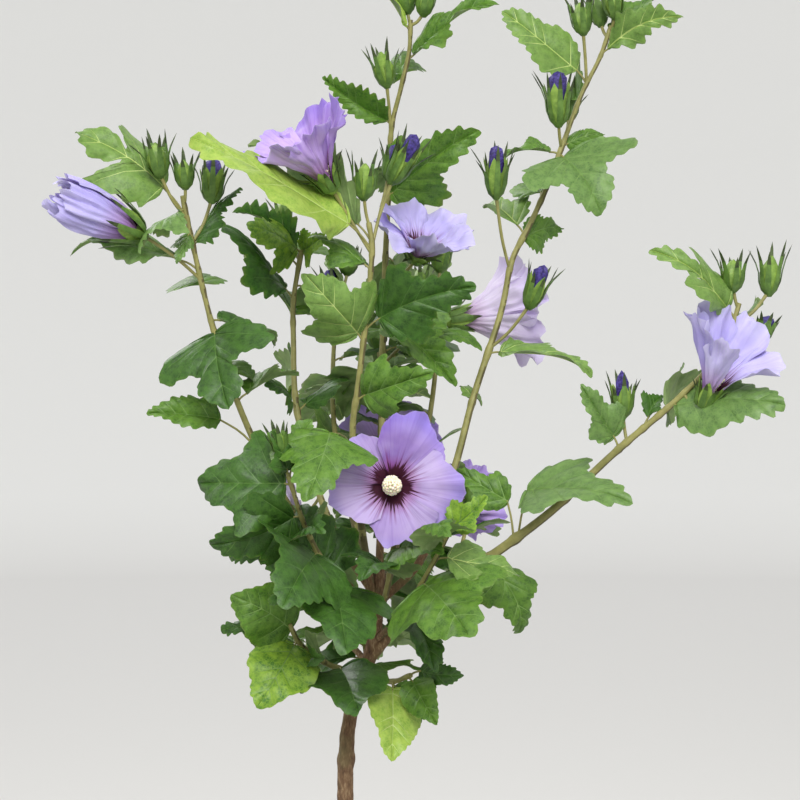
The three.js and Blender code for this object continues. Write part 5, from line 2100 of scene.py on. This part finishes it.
    @staticmethod
    def _pedicel(root: Array, item: Bud | Bloom) -> Shape:
        """The stalk of a bud or bloom, which leaves the stem sideways and turns up to its seat.

        Args:
            root: Where it leaves the stem.
            item: The bud or bloom.

        Returns:
            Points, faces and material numbers.
        """
        seat = np.array(item.seat, float)
        heading = np.array(item.tip, float) - seat if isinstance(item, Bud) else item.direction
        ahead = unit(np.array(heading, float))
        bend = mix(root, seat, 0.55) - ahead * np.linalg.norm(seat - root) * 0.12
        route = Route((root, bend, seat + ahead))
        return tube(route, np.linspace(0, 1, 10), lambda at: 1.05 + 0.6 * max(0.0, at - 0.8) * 5 * 0.5, 8)

    def build_leaves(self) -> None:
        """Makes one piece of leaves for each foliage mass."""
        skins = [skin.make() for skin in (*LEAF_SKINS.values(), UNDERSIDE, VEIN, VEIN_DARK, VEIN_PALE)]
        under, rib, dark_rib, pale_rib = range(len(Tint), len(skins))
        rib_of = {DARK: dark_rib, PALE: pale_rib, LIME: pale_rib}
        for index, shoot in enumerate(self.shoots):
            piece = Piece(f"leaves_{shoot.name}", "leaf", skins, (f"foliage_{shoot.name}",), smooth=60)
            draw = random_stream(LEAF_SEED + index * LEAF_STEP)
            for leaf, root, tip in self.leaves[shoot.name]:
                points, faces, numbers = self.leaf_maker.blade(root, leaf, tip, leaf in shoot.leaves, draw)
                dealt = (leaf.tint.value, under, rib_of.get(leaf.tint, rib))
                piece.add((points, faces, [dealt[n] for n in numbers]))
            piece.build()

    def build_blossom(self) -> None:
        """Makes the buds, the calyces, the stamens, and each bloom's petals."""
        green = [CALYX.make(), BRACT.make(), BRACT_TIP.make()]
        buds = Piece("buds", "calyx", [*green, CLOSED_PETAL.make()], smooth=45)
        cups = Piece("calyces", "calyx", green, smooth=45)
        stamens = Piece("stamens", "stamen", [STAMEN.make()], smooth=60)
        petals_of = {
            palette.name: [Petal(palette, inside).make() for inside in (True, False)]
            for palette in (FRESH, FLUSHED, WASHED, FADED)
        }
        draw = random_stream(BLOSSOM_SEED)
        for shoot in self.shoots:
            for bud in shoot.buds:
                self.bud_maker.add(buds, bud, draw)
            for number, bloom in enumerate(shoot.blooms):
                sides = petals_of[PALETTES[bloom.kind].name]
                petals = Piece(f"bloom_{shoot.name}_{number + 1}", "petal", sides, smooth=65)
                self.bloom_maker.petals(petals, bloom, draw)
                petals.build()
                self.bloom_maker.cup(cups, bloom, draw)
                self.bloom_maker.stamens(stamens, bloom, self.grain, draw)
        for piece in (buds, cups, stamens):
            piece.build()


def inside_crown(tip: Array) -> bool:
    """True where a spare leaf's tip keeps inside the crown's width at its height."""
    heights, lefts, rights = zip(*CROWN_WIDTH)
    if not heights[0] <= tip[2] < heights[-1]:
        return False
    return bool(np.interp(tip[2], heights, lefts) < tip[0] < np.interp(tip[2], heights, rights))


def round_grain() -> Shape:
    """A small round grain of radius 1, as arrays."""
    bpy.ops.object.select_all(action="DESELECT")
    bpy.ops.mesh.primitive_ico_sphere_add(subdivisions=1, radius=1)
    ball = bpy.context.object
    points = np.array([v.co for v in ball.data.vertices])
    faces = [tuple(p.vertices) for p in ball.data.polygons]
    bpy.data.objects.remove(ball)
    return plain(points, faces)


# ---- studio
@dataclass
class Studio:
    """A pale seamless dish, soft lamps and the camera."""

    aim: Point = (31.25, 0.0, 574.4)
    distance: float = 1800
    elevation: float = 3
    pixel: float = 1.6  # pixels for a millimetre at the aim
    image: float = 800
    sensor: float = 36

    def build(self) -> None:
        """Makes the backdrop, the lamps and the camera."""
        self._camera()
        self._backdrop()
        self._lamps()
        view = bpy.context.scene.view_settings
        view.view_transform = "Standard"
        view.look = "None"

    def _camera(self) -> None:
        """Places the camera at its distance and elevation."""
        tilt = math.radians(self.elevation)
        back = Vector((0, -math.cos(tilt), math.sin(tilt)))
        data = bpy.data.cameras.new("camera")
        data.sensor_width = self.sensor
        data.lens = self.pixel * self.distance * self.sensor / self.image
        data.clip_start, data.clip_end = 0.05, 60
        camera = add_object("camera", data)
        camera.location = (Vector(self.aim) + back * self.distance) * MM
        camera.rotation_euler = (-back).to_track_quat("-Z", "Y").to_euler()
        bpy.context.scene.camera = camera

    @staticmethod
    def _backdrop() -> None:
        """A round floor whose edge sweeps up into a wall on every side."""
        flat, bend, tall, low = 4200.0, 1800.0, 2000.0, -0.5
        profile = [(0.0, low), (flat, low)]
        for k in range(1, 13):
            turn = math.pi / 2 * k / 12
            profile.append((flat + bend * math.sin(turn), bend * (1 - math.cos(turn)) + low))
        profile += [(flat + bend, tall), (0.0, tall)]
        points, faces, _ = revolve(profile, 96)
        # without the lid that would close the body at its top
        floor = add_mesh("backdrop", points[:-1], [f for f in faces if len(points) - 1 not in f])
        floor.data.polygons.foreach_set("use_smooth", [True] * len(floor.data.polygons))
        paper = Surface("studio paper")
        place = paper.node("TexCoord", out="Object")
        far = paper.node("VectorMath", (place,), "Value", operation="LENGTH")
        out = paper.node("MapRange", (far, 0.0, (flat + bend) * MM))
        # greyer near the pot, where the lamp falls, and paler up the wall
        shades = paper.node("ValToRGB", (out,), stops=(
            (0.0, "#c0bfbc"), (0.26, "#e4e3e0"), (0.68, "#e6e5e3"), (0.8, "#f4f4f2")))
        floor.data.materials.append(paper.finish(shades, 0.95, None, {"Specular IOR Level": 0.1}))

    @staticmethod
    def _lamps() -> None:
        """Light from all round, a key from the upper front and a weak rim light behind it."""
        world = bpy.data.worlds.new("soft light")
        world.use_nodes = True
        background = world.node_tree.nodes["Background"]
        background.inputs["Color"].default_value = paint("#fafafa")
        background.inputs["Strength"].default_value = 0.9
        bpy.context.scene.world = world
        aim = Vector((0.03, 0, 0.55))
        lamps = (("key", (0.15, -1.6, 1.75), 1.3, 4.9), ("rim", (-0.9, 1.2, 1.7), 0.9, 1.4))
        for name, place, size, power in lamps:
            data = bpy.data.lights.new(name, "AREA")
            data.shape, data.size, data.energy = "DISK", size, power
            data.spread = math.radians(52)
            lamp = add_object(name, data)
            lamp.location = place
            lamp.rotation_euler = (aim - Vector(place)).to_track_quat("-Z", "Y").to_euler()


def main() -> None:
    """Builds the studio and the plant, piece by piece."""
    logging.basicConfig(level=logging.INFO, format="%(name)s: %(message)s")
    Studio().build()
    grain = round_grain()
    pot = Pot()
    pot.build()
    Compost(pot).build(grain)
    Trunk().build()
    growth = Growth(SHOOTS, grain)
    growth.place_leaves()
    growth.build_limbs(STEM.make(), STEM_RIPE_AND_SHADED.make())
    growth.build_leaves()
    growth.build_blossom()


if __name__ == "__main__":
    main()
